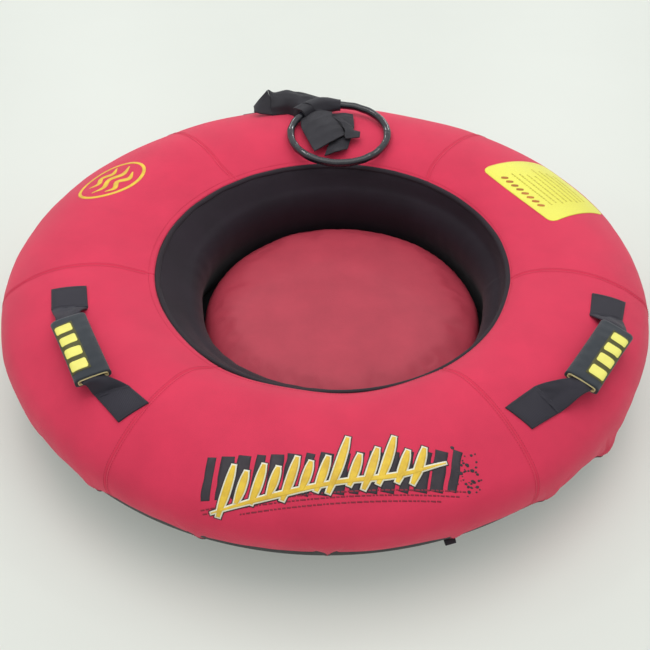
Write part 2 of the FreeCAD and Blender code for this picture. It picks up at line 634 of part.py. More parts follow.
def make_zip():
    tape = [
        ("zip_top_radius", "zip_top_height"),
        ("zip_foot_radius", "zip_foot_height"),
        ("zip_foot_radius + zip_step_out", "zip_foot_height - zip_step_down"),
        ("zip_top_radius + zip_step_out", "zip_top_height - zip_step_down"),
    ]
    node(turned("zip_tape", tape, "zip_sweep", ZIP_START), "zip_tape")
    frame = skirt_frame(SLIDER_AZIMUTH, VALUE["zip_middle_radius"], VALUE["slider_lift"])
    slider = doc.addObject("Part::Box", "slider_block")
    bind(slider, Length="slider_length", Width="slider_width", Height="slider_height")
    corner = Vector(-VALUE["slider_length"] / 2, -VALUE["slider_width"] / 2, 0)
    slider.Placement = frame * Placement(corner, Rotation())
    eased = doc.addObject("Part::Fillet", "zip_slider")
    eased.Base = slider
    eased.Edges = [(edge, SLIDER_ROUND, SLIDER_ROUND) for edge in range(1, 13)]
    node(eased, "zip_slider")
    wide, narrow, length = VALUE["pull_width"] / 2, VALUE["pull_width"] * 0.4, VALUE["pull_length"]
    pull = [(-wide, 0), (wide, 0), (narrow, length), (-narrow, length)]
    start = Vector(VALUE["slider_length"] / 2 + PULL_GAP, 0, PULL_LIFT)
    turn = Rotation(Vector(0, 0, 1), -90)
    node(padded("zip_pull", plain(pull), "pull_thickness", frame * Placement(start, turn)), "zip_pull")


def stack(name, frame, radius, low, height):
    """A round piece of the valve, standing on the skirt's normal."""
    disc = bind(doc.addObject("Part::Cylinder", name), Radius=radius)
    disc.Height = height
    disc.Placement = frame * Placement(Vector(0, 0, low), Rotation())
    return disc


def make_valve():
    frame = skirt_frame(VALVE_AZIMUTH, VALVE_RADIUS)
    thick, depth = VALUE["valve_flange_thickness"], VALUE["valve_flange_depth"]
    flange_plate = stack("flange_plate", frame, "valve_flange_radius", -depth, thick)
    flange_hole = stack("flange_hole", frame, "valve_body_radius + lay_gap", -WAY_LENGTH / 2, WAY_LENGTH)
    flange = doc.addObject("Part::Cut", "valve_flange")
    flange.Base, flange.Tool = flange_plate, flange_hole
    node(flange, "valve_flange")
    stand, length = VALUE["valve_stand"], VALUE["valve_body_length"]
    core = stack("valve_core", frame, "valve_body_radius", stand - length, length)
    way = stack("valve_way", frame, "valve_bore", -WAY_LENGTH / 2, WAY_LENGTH)
    body = doc.addObject("Part::Cut", "valve_body")
    body.Base, body.Tool = core, way
    node(body, "valve_body")
    flap_foot = stand - length - HULL_GAP - VALUE["valve_flap_thickness"]
    flap = stack("valve_flap", frame, "valve_flap_radius", flap_foot, VALUE["valve_flap_thickness"])
    node(flap, "valve_flap")
    cap = stack("cap_block", frame, "valve_cap_radius", stand + HULL_GAP, VALUE["valve_cap_height"])
    round_cap = doc.addObject("Part::Fillet", "valve_cap")
    round_cap.Base = cap
    round_cap.Edges = [(edge, CAP_ROUND, CAP_ROUND) for edge in (1, 3)]
    node(round_cap, "valve_cap")
    collar = bind(doc.addObject("Part::Torus", "valve_tether"), Radius1="tether_circle", Radius2="tether_bar")
    collar.Placement = frame * Placement(Vector(0, 0, VALUE["tether_height"]), Rotation())
    node(collar, "valve_tether")
    return frame


def cut_skirt_for_valve(frame):
    """The skirt and the inner tube are open where the valve passes."""
    for thing in [n for n in nodes if n.Label in ("bottom_skirt", "inner_tube")]:
        name = thing.Label
        way = stack(name + "_way", frame, "valve_body_radius + lay_gap", -0.75 * WAY_LENGTH, WAY_LENGTH)
        cut = doc.addObject("Part::Cut", name + "_with_way")
        cut.Base, cut.Tool = thing, way
        thing.Label = name + "_whole"
        cut.Label = name
        nodes[nodes.index(thing)] = cut


def export():
    doc.recompute()
    for thing in doc.Objects:
        if {"Invalid", "Error"} & set(thing.State):
            raise RuntimeError("%s failed: %s" % (thing.Label, thing.State))
    os.makedirs("parts", exist_ok=True)
    for thing in nodes:
        shape = thing.Shape
        if shape.isNull() or not shape.isValid() or not shape.Solids:
            raise RuntimeError("%s has no valid solid" % thing.Label)
        shape.exportStep("parts/%s.step" % thing.Label)
        box = shape.BoundBox
        print("%-20s %d solid(s) %10.0f mm3  x %7.1f %7.1f  y %7.1f %7.1f  z %6.1f %6.1f" % (
            thing.Label, len(shape.Solids), shape.Volume,
            box.XMin, box.XMax, box.YMin, box.YMax, box.ZMin, box.ZMax))


fill_sheet()
make_cover_panels()
make_lower_cover()
make_seat()
make_inner_tube()
for handle in HANDLES:
    make_handle(*handle)
make_tow_strap()
make_tow_ring()
make_patches()
make_zip()
cut_skirt_for_valve(make_valve())
export()
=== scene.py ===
"""Looks of the towable tube: fabric cover, padded seat, grips, tow strap and ring, in metres."""
import math

import bmesh
import bpy
import numpy as np
from mathutils import Matrix, Vector


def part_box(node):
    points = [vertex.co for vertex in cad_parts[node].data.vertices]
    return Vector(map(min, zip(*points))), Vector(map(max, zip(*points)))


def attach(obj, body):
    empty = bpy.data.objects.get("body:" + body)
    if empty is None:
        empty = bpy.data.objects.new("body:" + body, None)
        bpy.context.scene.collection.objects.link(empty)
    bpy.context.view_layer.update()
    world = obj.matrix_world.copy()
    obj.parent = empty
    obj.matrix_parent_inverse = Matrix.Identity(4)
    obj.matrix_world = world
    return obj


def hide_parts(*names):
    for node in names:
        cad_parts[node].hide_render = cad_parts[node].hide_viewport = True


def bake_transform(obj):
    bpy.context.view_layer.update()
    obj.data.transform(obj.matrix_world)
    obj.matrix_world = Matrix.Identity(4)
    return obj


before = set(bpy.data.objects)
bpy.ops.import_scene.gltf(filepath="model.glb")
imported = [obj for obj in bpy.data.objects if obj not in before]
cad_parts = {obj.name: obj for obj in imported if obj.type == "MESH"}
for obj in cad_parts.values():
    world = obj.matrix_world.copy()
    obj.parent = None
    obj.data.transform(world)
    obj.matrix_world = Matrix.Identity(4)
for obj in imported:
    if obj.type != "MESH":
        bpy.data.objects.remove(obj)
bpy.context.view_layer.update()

# Camera and stage
CAMERA_PLACE = (0.0, -1.5108, 1.3641)
CAMERA_PITCH = 41.16      # degrees below the horizon
CAMERA_ROLL = 0.42
CAMERA_LENS = 69.0

# Section of the top cover, from its rim over the crest and shoulder to its hem
CREST_RADIUS = 0.360
CREST_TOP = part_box("cover_front")[1].z
CREST_ARC = 0.1892
RIM_RADIUS = 0.2745
SHOULDER_ARC = 0.050
OUTER_RADIUS = 0.500
OUTER_HEIGHT = 0.112
HEM_ARC = 0.0951
HEM_HEIGHT = 0.0523
RIM_ANGLE = math.asin((RIM_RADIUS - CREST_RADIUS) / CREST_ARC)
SHOULDER_ANGLE = math.radians(40.3)
HEM_ANGLE = math.pi / 2 + math.asin((OUTER_HEIGHT - HEM_HEIGHT) / HEM_ARC)
CREST_END = CREST_ARC * (SHOULDER_ANGLE - RIM_ANGLE)
SHOULDER_END = CREST_END + SHOULDER_ARC * (math.pi / 2 - SHOULDER_ANGLE)
HEM = SHOULDER_END + HEM_ARC * (HEM_ANGLE - math.pi / 2)

# The panels of the cover: name, azimuth where each one starts, and its sweep
PANELS = (
    ("cover_front", 234.5, 70.0), ("cover_front_right", 304.5, 48.5), ("cover_rear_right", 353.0, 61.0),
    ("cover_back", 54.0, 72.0), ("cover_rear_left", 126.0, 60.0), ("cover_front_left", 186.0, 48.5),
)
SEAMS = [start for _, start, _ in PANELS]
# Tucks where the hem is gathered: azimuth and size
TUCKS = (
    (8.4, 1.0), (27.0, 0.8), (46.0, 0.9), (70.4, 1.1), (88.0, 0.8), (107.0, 0.9), (125.0, 0.8), (143.0, 0.9),
    (161.5, 1.0), (176.5, 1.0), (197.7, 1.1), (213.3, 0.9), (229.0, 1.0), (250.0, 0.7), (270.6, 0.6),
    (291.2, 0.7), (309.3, 1.0), (325.0, 1.7), (346.0, 0.9),
)
# The folds of a tuck: height, place beside it, slant, width, distance up from the hem, and reach that way
TUCK_FOLDS = (
    (0.0042, 0.0, 0.0, 0.0085, 0.0, 0.024), (0.0048, 0.0, 0.0, 0.030, 0.0, 0.045),
    (-0.0026, 0.0150, 0.0, 0.0060, 0.0, 0.015), (-0.0022, 0.0, 0.40, 0.0028, 0.030, 0.022),
    (-0.0016, 0.0, -0.46, 0.0032, 0.034, 0.024), (0.0012, 0.0, 0.04, 0.0045, 0.026, 0.020),
)
STITCH_BESIDE = 0.0034                     # rows of stitches lie this far from a seam
COVER_SKIN = 0.0014
# Radii at which the weave's threads lie their true distance apart
COVER_WEAVE, SKIRT_WEAVE, WALL_WEAVE, ANCHOR_WEAVE = 0.42, 0.45, 0.23, 0.49
# How the well and the seat lie off the tube's middle
SEAT_SHIFT = 0.0270                        # seat and lower well to the right
RIM_SAG, RIM_SAG_FRONT = 0.008, 0.007      # rim forward, and its front more
RIM_PINCH, SEAT_BACK = 0.0040, 0.012       # rim narrower, back of the seat further back
WALL_WAIST, WAIST_REACH = 0.232, 0.022     # radius of the wall's waist, and how far its push reaches
WALL_FRONT, WALL_SIDE = 0.022, 0.008       # waist pushed outward at the front and at the sides
SHIFT_INSIDE, SHIFT_OUTSIDE = 0.225, 0.310

# Handles: body, azimuth and radius of the middle between the tabs, turn, grip's place along and out, and
# the corners (x, y) of its two tabs: two toward the grip, then two away from it, each inner side first
HANDLES = (
    ("handle_left", 214.0, 0.389, -9.8, -0.012, 0.020,
     ((-0.343, -0.139), (-0.397, -0.136), (-0.352, -0.092), (-0.404, -0.092)),
     ((-0.266, -0.297), (-0.311, -0.305), (-0.234, -0.329), (-0.273, -0.351))),
    ("handle_right", 327.0, 0.413, 1.4, -0.012, 0.031,
     ((0.286, -0.290), (0.319, -0.321), (0.241, -0.331), (0.276, -0.355)),
     ((0.383, -0.142), (0.434, -0.133), (0.394, -0.093), (0.447, -0.089))),
)
WEB_THICK = 0.0022
GRIP_LENGTH, GRIP_WIDTH, GRIP_DEPTH, GRIP_ROUND = 0.126, 0.046, 0.018, 0.0075
GRIP_HEIGHT, GRIP_TILT = 0.0185, 3.0       # over the line between the tabs; degrees, outer edge up
GRIP_FOAM = 0.0038
GRIP_SPREAD, GRIP_FLARE = 1.09, 0.03       # how much wider the sleeve lies than it is, and its ends more
GRIP_BOW, GRIP_SAG = 0.0022, 0.20          # how far the sleeve's ends droop, and how much flatter they are
MARK_LENGTH, MARK_PITCH, MARKS = 0.0172, 0.0258, 4

RING_CENTRE = Vector((0.0217, 0.3205, 0.2016))
RING_TILT = 4.0
RING_CIRCLE, RING_BAR = 0.083, 0.0065
WRAP_START, WRAP_END, WRAP_RADIUS = 93, 142, 0.0081    # sleeve round the bar: angles on the ring, radius


# ---------------------------------------------------------------- shapes

def link(thing):
    bpy.context.scene.collection.objects.link(thing)
    return thing


def surface(name, points, cloth=None, close_u=False, close_v=False, upward=False):
    """A grid of points as a smooth mesh. Its normal is along the first index crossed with the second."""
    nu, nv = points.shape[:2]
    ids = np.arange(nu * nv).reshape(nu, nv)
    if close_u:
        ids = np.vstack([ids, ids[:1]])
    if close_v:
        ids = np.hstack([ids, ids[:, :1]])
    faces = np.stack([ids[:-1, :-1], ids[1:, :-1], ids[1:, 1:], ids[:-1, 1:]], axis=-1).reshape(-1, 4)
    if upward:
        flat = points.reshape(-1, 3)
        cross = np.cross(flat[faces[:, 1]] - flat[faces[:, 0]], flat[faces[:, 3]] - flat[faces[:, 0]])
        if cross[:, 2].sum() < 0:
            faces = faces[:, ::-1]
    mesh = bpy.data.meshes.new(name)
    mesh.from_pydata(points.reshape(-1, 3).tolist(), [], faces.tolist())
    smooth_shaded(mesh)
    if cloth is None:
        cloth = np.zeros((nu, nv, 2))
    set_cloth(mesh, cloth.reshape(-1, 2))
    return link(bpy.data.objects.new(name, mesh))


def smooth_shaded(mesh):
    mesh.polygons.foreach_set("use_smooth", np.ones(len(mesh.polygons), bool))


def pairs(u, v):
    """Two arrays spread to the same shape, side by side."""
    return np.stack(np.broadcast_arrays(u, v), axis=-1)


def polar(radius, turn, height):
    """Points at a radius, an angle in radians and a height."""
    return np.stack(np.broadcast_arrays(radius * np.cos(turn), radius * np.sin(turn), height), axis=-1)


def circle_steps(count):
    return np.linspace(0, 2 * math.pi, count, endpoint=False)


def rotation(degrees, axis):
    return Matrix.Rotation(math.radians(degrees), 4, axis)


def set_cloth(mesh, cloth):
    """Where each point lies on the flat cloth, in metres: the weave follows it."""
    attribute = mesh.attributes.get("cloth") or mesh.attributes.new("cloth", "FLOAT_VECTOR", "POINT")
    filled = np.zeros((len(cloth), 3), np.float32)
    filled[:, :2] = cloth
    attribute.data.foreach_set("vector", filled.ravel())


def thicken(piece, thickness, offset=-1.0):
    solid = piece.modifiers.new("thickness", "SOLIDIFY")
    solid.thickness, solid.offset = thickness, offset
    return piece


def settle(piece):
    """Put the result of a piece's modifiers into its mesh."""
    view = bpy.context.evaluated_depsgraph_get()
    mesh = bpy.data.meshes.new_from_object(piece.evaluated_get(view))
    piece.modifiers.clear()
    piece.data = mesh
    return piece


def joined(name, pieces):
    """One mesh from several pieces with their modifiers applied. They keep their cloth attribute."""
    built = bmesh.new()
    for piece in pieces:
        if piece.modifiers:
            settle(piece)
        built.from_mesh(piece.data)
        bpy.data.objects.remove(piece)
    mesh = bpy.data.meshes.new(name)
    built.to_mesh(mesh)
    built.free()
    return link(bpy.data.objects.new(name, mesh))


def finished(piece, look, body="cover", replaces=()):
    """Give a piece its material, its body and the nodes it stands for."""
    piece.data.materials.clear()
    piece.data.materials.append(MATERIALS[look])
    if body:
        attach(piece, body)
    if replaces:
        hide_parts(*replaces)
    return piece


def ripple(u, v, seed, size, waves=9):
    """Smooth unevenness from -1 to 1 or so: a sum of plane waves about size long."""
    dice = np.random.default_rng(seed)
    total = np.zeros(np.broadcast(u, v).shape)
    for _ in range(waves):
        turn, phase = dice.uniform(0, 2 * math.pi, 2)
        pace = 2 * math.pi / (size * dice.uniform(0.7, 1.6))
        total += np.sin(pace * (u * math.cos(turn) + v * math.sin(turn)) + phase)
    return total / math.sqrt(waves)


def bell(distance, width):
    return np.exp(-((distance / width) ** 2))


def around(degrees):
    """An angle as radians between -pi and pi."""
    return np.radians((np.asarray(degrees, float) + 180.0) % 360.0 - 180.0)


def smooth(low, high, value):
    share = np.clip((value - low) / (high - low), 0.0, 1.0)
    return share * share * (3 - 2 * share)


def lean(points):
    """The well and the seat lie a little to the right of the tube's middle, its rim a little forward."""
    radius = np.hypot(points[..., 0], points[..., 1])
    share = 1 - smooth(SHIFT_INSIDE, SHIFT_OUTSIDE, radius)
    rim = bell(radius - RIM_RADIUS, 0.035)
    across, toward = (points[..., k] / np.maximum(radius, 1e-6) for k in (0, 1))
    leant = points.copy()
    leant[..., 0] += SEAT_SHIFT * share - RIM_PINCH * rim * across
    leant[..., 1] -= rim * (RIM_SAG + RIM_SAG_FRONT * smooth(0.2, 1.0, -toward))
    leant[..., 1] += SEAT_BACK * share * (1 - rim) * smooth(0.0, 1.0, toward)
    push = WALL_FRONT * smooth(0.1, 0.9, -toward) + WALL_SIDE * across ** 2
    push = push * bell(radius - WALL_WAIST, WAIST_REACH)
    leant[..., 0] += push * across
    leant[..., 1] += push * toward
    return leant


def draw_in(points):
    """The elastic in the hem pulls the front of the hem in and up."""
    radius = np.hypot(points[..., 0], points[..., 1])
    facing = np.cos(np.arctan2(points[..., 1], points[..., 0]) - math.radians(257))
    height = points[..., 2]
    share = smooth(0.25, 1.0, facing) * bell(height - 0.050, 0.034) * smooth(0.0, 0.02, height)
    drawn = points.copy()
    drawn[..., :2] *= (1 - 0.008 * share / np.maximum(radius, 1e-6))[..., None]
    drawn[..., 2] += 0.0065 * share
    return drawn


def curve_through(stops, count, crisp=False):
    """Points through stops (any shape per stop), count of them: a Catmull-Rom curve, or straight runs."""
    stops = np.asarray(stops, float)
    padded = np.concatenate([2 * stops[:1] - stops[1:2], stops, 2 * stops[-1:] - stops[-2:-1]])
    at = np.linspace(0, len(stops) - 1, count)
    first = np.minimum(at.astype(int), len(stops) - 2)
    t = (at - first).reshape((-1,) + (1,) * (stops.ndim - 1))
    a, b, c, d = (padded[first + k] for k in range(4))
    if crisp:
        return b + (c - b) * t
    bend, twist = 2 * a - 5 * b + 4 * c - d, 3 * b - a - 3 * c + d
    return 0.5 * (2 * b + (c - a) * t + bend * t ** 2 + twist * t ** 3)


def run_length(points):
    """Distance along a line of points, from its first."""
    steps = np.linalg.norm(np.diff(points, axis=0), axis=-1)
    return np.concatenate([[0.0], np.cumsum(steps)])


# ---------------------------------------------------------------- the cover's surface

def section(s):
    """Radius, height and the normal's angle from upright at distance s from the rim."""
    s = np.asarray(s, float)
    crest, shoulder = s < CREST_END, s < SHOULDER_END
    angle = np.where(crest, RIM_ANGLE + s / CREST_ARC,
                     np.where(shoulder, SHOULDER_ANGLE + (s - CREST_END) / SHOULDER_ARC,
                              math.pi / 2 + (s - SHOULDER_END) / HEM_ARC))
    arc = np.where(crest, CREST_ARC, np.where(shoulder, SHOULDER_ARC, HEM_ARC))
    middle = np.where(crest, CREST_RADIUS, OUTER_RADIUS - arc)
    level = np.where(crest, CREST_TOP - CREST_ARC, OUTER_HEIGHT)
    return middle + arc * np.sin(angle), level + arc * np.cos(angle), angle


def distance_to(radius):
    """Distance from the rim to a radius on the crest arc."""
    return CREST_ARC * (math.asin((radius - CREST_RADIUS) / CREST_ARC) - RIM_ANGLE)


def relief(az, s):
    """How far the fabric stands out of its even shape: slack, tucks at the hem, and seams."""
    radius = section(s)[0]
    low = HEM - s
    out = 0.0007 * ripple(np.cos(np.radians(az)) * radius, np.sin(np.radians(az)) * radius, 3, 0.15)
    out = out + 0.0010 * np.exp(-low / 0.05) * ripple(np.radians(az) * 0.47, s, 5, 0.045)
    for place, size in TUCKS:
        across = around(az - place) * radius
        out = out + size * sum(height * bell(across - beside - slant * low, wide) * bell(low - level, reach)
                               for height, beside, slant, wide, level, reach in TUCK_FOLDS)
    for place in SEAMS:
        across = around(az - place) * radius
        out = out - 0.0007 * bell(across, 0.0011) + 0.0003 * bell(np.abs(across) - STITCH_BESIDE, 0.0015)
        out = out - 0.0005 * bell(across, 0.020)
    return out


def cover_points(az, s, lift=0.0):
    """Points on the cover's outside, or lift above it."""
    az, s = np.broadcast_arrays(np.asarray(az, float), np.asarray(s, float))
    radius, height, angle = section(s)
    out = relief(az, s) + lift
    radius, height = radius + out * np.sin(angle), height + out * np.cos(angle)
    return draw_in(lean(polar(radius, np.radians(az), height)))


def over(x, y):
    """The azimuth and rim distance of the cover's crest right over or under a place (x, y) of the part."""
    slope = np.arcsin((np.hypot(x, y) - CREST_RADIUS) / CREST_ARC)
    return np.degrees(np.arctan2(y, x)), CREST_ARC * (slope - RIM_ANGLE)


def on_plane(azimuth, radius, turn, x, y):
    """The azimuth and rim distance under a place (x, y) of the flat frame that touches the cover there.
    Before its turn, x runs against the azimuth and y outward."""
    angle = math.radians(turn)
    along = x * math.cos(angle) - y * math.sin(angle)
    outward = x * math.sin(angle) + y * math.cos(angle)
    slope = math.asin((radius - CREST_RADIUS) / CREST_ARC)
    reach = radius + outward * math.cos(slope)
    bowed = (np.hypot(along, reach) - reach) / math.cos(slope)
    return azimuth - np.degrees(np.arctan2(along, reach)), distance_to(radius) + outward + bowed


def touching_frame(azimuth, radius, turn=0.0):
    """The same flat frame as a matrix: +z along the cover's normal."""
    slope = math.asin((radius - CREST_RADIUS) / CREST_ARC)
    height = CREST_TOP - CREST_ARC + CREST_ARC * math.cos(slope)
    return (rotation(azimuth - 90, "Z") @ Matrix.Translation((0, radius, height))
            @ Matrix.Rotation(-slope, 4, "X") @ rotation(turn, "Z"))


def moved(points, matrix):
    """Points of a frame as points of the part."""
    array = np.array(matrix)
    return points @ array[:3, :3].T + array[:3, 3]


# ---------------------------------------------------------------- materials

def shade(name, colour, rough, metallic=0.0, sheen=0.0, coat=0.0, coat_rough=0.1, shine=0.5):
    """A new material, its shader, and two functions: one adds a node, one joins an output to the shader."""
    material = bpy.data.materials.new(name)
    material.use_nodes = True
    tree = material.node_tree
    shader = tree.nodes["Principled BSDF"]
    shader.inputs["Base Color"].default_value = (*colour, 1)
    for key, value in (("Roughness", rough), ("Metallic", metallic), ("Specular IOR Level", shine),
                       ("Sheen Weight", sheen), ("Sheen Roughness", 0.45), ("Coat Weight", coat),
                       ("Coat Roughness", coat_rough)):
        shader.inputs[key].default_value = value

    def add(kind, values=None, **settings):
        made = tree.nodes.new("ShaderNode" + kind)
        for key, value in settings.items():
            setattr(made, key, value)
        for key, value in (values or {}).items():
            if isinstance(value, bpy.types.NodeSocket):
                tree.links.new(value, made.inputs[key])
            else:
                made.inputs[key].default_value = value
        return made

    def put(key, output):
        tree.links.new(output, shader.inputs[key])

    return material, shader, add, put


def maths(add, operation, *values):
    return add("Math", dict(enumerate(values)), operation=operation).outputs[0]


def noise(add, place, scale, detail, **more):
    return add("TexNoise", {"Vector": place, "Scale": scale, "Detail": detail, **more}).outputs["Fac"]


def bumped(add, height, strength, depth, **more):
    return add("Bump", {"Height": height, "Strength": strength, "Distance": depth, **more}).outputs[0]


def dulled(add, put, amount, low, high, start=0.0, end=1.0):
    """Roughness from low to high as amount goes from start to end."""
    limits = {"From Min": start, "From Max": end, "To Min": low, "To Max": high}
    put("Roughness", add("MapRange", {"Value": amount, **limits}).outputs["Result"])


def scaled(colour, factor):
    return (*(min(1.0, channel * factor) for channel in colour), 1)


def mottled(add, place, colour, size, spread):
    """A colour that drifts between a darker and a lighter version of itself."""
    ramp = add("ValToRGB", {"Fac": noise(add, place, 1 / size, 4.0, Roughness=0.6)})
    for stop, position, factor in zip(ramp.color_ramp.elements, (0.3, 0.7), (1 - spread, 1 + spread)):
        stop.position, stop.color = position, scaled(colour, factor)
    return ramp.outputs["Color"]


def threads(add, cloth, pitch_u, pitch_v, slant=0.0):
    """Height of a weave, 0 to 1, from places on the flat cloth."""
    split = add("SeparateXYZ", {0: cloth})
    along, across = split.outputs["X"], split.outputs["Y"]
    if slant:
        along = maths(add, "ADD", along, maths(add, "MULTIPLY", maths(add, "ABSOLUTE", across), slant))
    waves = [maths(add, "SINE", maths(add, "MULTIPLY", value, 2 * math.pi / pitch))
             for value, pitch in ((along, pitch_u), (across, pitch_v))]
    return maths(add, "MULTIPLY_ADD", maths(add, "MULTIPLY", *waves), 0.5, 0.5)


def woven(name, colour, pitch, rough=0.75, sheen=0.1, depth=0.00025, spread=0.10, slant=0.0, shine=0.25,
          long_pitch=None):
    """Cloth: threads follow the flat cloth, with slubs and drifting colour; the colour has painted shade in
    the hollows between threads and a painted highlight on the thread crowns.
    """
    material, _, add, put = shade(name, colour, rough, sheen=sheen, shine=shine)
    place = add("TexCoord").outputs["Object"]
    weave = threads(add, add("Attribute", attribute_name="cloth").outputs["Vector"], long_pitch or pitch,
                    pitch, slant)
    # painted shade and highlight: the colour is darkened to 0.80 in the hollows between threads and lightened
    # to 1.08 on their crowns
    painted_weave_shade = add("MapRange", {"Value": weave, "To Min": 0.80, "To Max": 1.08}).outputs["Result"]
    tint = add("MixRGB", {"Fac": 1.0, "Color1": mottled(add, place, colour, 0.09, spread), "Color2": painted_weave_shade},
               blend_type="MULTIPLY")
    put("Base Color", tint.outputs[0])
    dulled(add, put, noise(add, place, 14.0, 5.0), rough - 0.08, rough + 0.08)
    fine = bumped(add, maths(add, "MULTIPLY_ADD", noise(add, place, 900.0, 3.0), 0.5, weave), 0.55, depth)
    put("Normal", bumped(add, noise(add, place, 45.0, 2.0), 0.25, 0.0012, Normal=fine))
    return material


def grained(name, colour, rough):
    """Vinyl: small cells of grain with creases between, and worn lighter patches."""
    material, _, add, put = shade(name, colour, rough, coat=0.04, coat_rough=0.35, shine=0.3)
    place = add("TexCoord").outputs["Object"]
    cells = add("TexVoronoi", {"Vector": place, "Scale": 1 / 0.0022, "Randomness": 0.95}, feature="SMOOTH_F1")
    put("Base Color", mottled(add, place, colour, 0.07, 0.08))
    dulled(add, put, noise(add, place, 9.0, 5.0), rough - 0.1, rough + 0.1)
    height = maths(add, "MULTIPLY_ADD", noise(add, place, 700.0, 3.0), 0.4, cells.outputs["Distance"])
    put("Normal", bumped(add, height, 0.5, 0.00025))
    return material


def moulded(name, colour, rough, grain=0.0008, depth=0.00006, metallic=0.0, coat=0.0, spread=0.12):
    """Rubber, plastic or metal: fine surface noise, soft scuffs and slight colour drift."""
    material, _, add, put = shade(name, colour, rough, metallic, coat=coat, coat_rough=0.12)
    place = add("TexCoord").outputs["Object"]
    put("Base Color", mottled(add, place, colour, 0.02, spread))
    scuffs = noise(add, place, 60.0, 6.0, Distortion=1.2)
    dulled(add, put, scuffs, rough - 0.05, min(1.0, rough + 0.14), 0.35, 0.7)
    put("Normal", bumped(add, noise(add, place, 1 / grain, 4.0), 0.4, depth))
    return material


MATERIALS = {
    "cover": woven("red_cover_fabric", (0.80, 0.042, 0.105), 0.0011, rough=0.72, sheen=0.12, spread=0.07),
    "black": woven("black_lining_fabric", (0.020, 0.0125, 0.020), 0.0010, rough=0.6, sheen=0.09,
                   spread=0.2, shine=0.22),
    "base": woven("base_fabric", (0.02, 0.02, 0.023), 0.0018, rough=0.6, depth=0.0004, spread=0.25),
    "binding": woven("binding_tape", (0.026, 0.019, 0.026), 0.0008, rough=0.7, sheen=0.1),
    "webbing": woven("handle_webbing", (0.036, 0.033, 0.045), 0.0016, rough=0.62, depth=0.0005,
                     slant=1.0, long_pitch=0.0024, spread=0.15),
    "strap": woven("tow_webbing", (0.024, 0.022, 0.029), 0.0015, rough=0.55, depth=0.0004, spread=0.25,
                   shine=0.3),
    "seat": grained("seat_vinyl", (0.50, 0.050, 0.082), 0.55),
    "grip": woven("grip_fabric", (0.043, 0.050, 0.060), 0.0007, rough=0.7, sheen=0.25, depth=0.0002),
    "lining": woven("grip_lining", (0.86, 0.72, 0.36), 0.0008, rough=0.7),
    "yellow": moulded("yellow_print", (0.98, 0.90, 0.19), 0.45, spread=0.04),
    "orange": moulded("amber_print", (0.93, 0.56, 0.045), 0.5, spread=0.22),
    "label": woven("yellow_patch_fabric", (0.99, 0.93, 0.10), 0.0007, rough=0.4, depth=0.0001,
                   spread=0.03, shine=0.5),
    "white": moulded("white_print", (0.90, 0.86, 0.66), 0.5, spread=0.04),
    "dark": moulded("dark_print", (0.036, 0.028, 0.036), 0.6, spread=0.2),
    "wine": moulded("wine_print", (0.26, 0.014, 0.036), 0.6, spread=0.2),
    "olive": moulded("olive_print", (0.085, 0.080, 0.018), 0.6, spread=0.2),
    "rust": moulded("rust_print", (0.50, 0.17, 0.025), 0.6, spread=0.25),
    "mustard": moulded("mustard_print", (0.66, 0.58, 0.050), 0.6, spread=0.15),
    "thread": woven("red_thread", (0.60, 0.026, 0.070), 0.0006, rough=0.6, depth=0.0001),
    "black_thread": woven("black_thread", (0.03, 0.03, 0.034), 0.0006, rough=0.5, depth=0.0001),
    "ring": moulded("ring_coating", (0.010, 0.010, 0.015), 0.20, grain=0.004, depth=0.0003, coat=0.6),
    "foam": moulded("open_foam", (0.72, 0.66, 0.42), 0.9, grain=0.0015, depth=0.0006),
    "rubber": moulded("tube_rubber", (0.03, 0.03, 0.032), 0.6, depth=0.0002),
    "metal": moulded("zip_metal", (0.52, 0.52, 0.54), 0.32, metallic=1.0, grain=0.0004),
    "plastic": moulded("valve_plastic", (0.04, 0.04, 0.045), 0.35),
    "soft": moulded("valve_rubber", (0.05, 0.05, 0.05), 0.65),
}


# ---------------------------------------------------------------- cover

def fine_ended(start, end, step, fine, reach):
    """Angles from start to end, closer together near both ends."""
    near = np.arange(0.0, reach, fine)
    inner = np.linspace(start + reach, end - reach, max(2, int((end - start - 2 * reach) / step)))
    return np.concatenate([start + near, inner, end - near[::-1]])


def cover_panel(name, start, sweep):
    az = fine_ended(start, start + sweep, 0.33, 0.09, 1.0)
    s = np.linspace(0.0, HEM, 120)
    points = cover_points(az[None, :], s[:, None])
    cloth = pairs(np.radians(az - start)[None, :] * COVER_WEAVE, s[:, None])
    piece = thicken(surface(name + "_cloth", points, cloth), COVER_SKIN)
    finished(piece, "cover", replaces=[name])


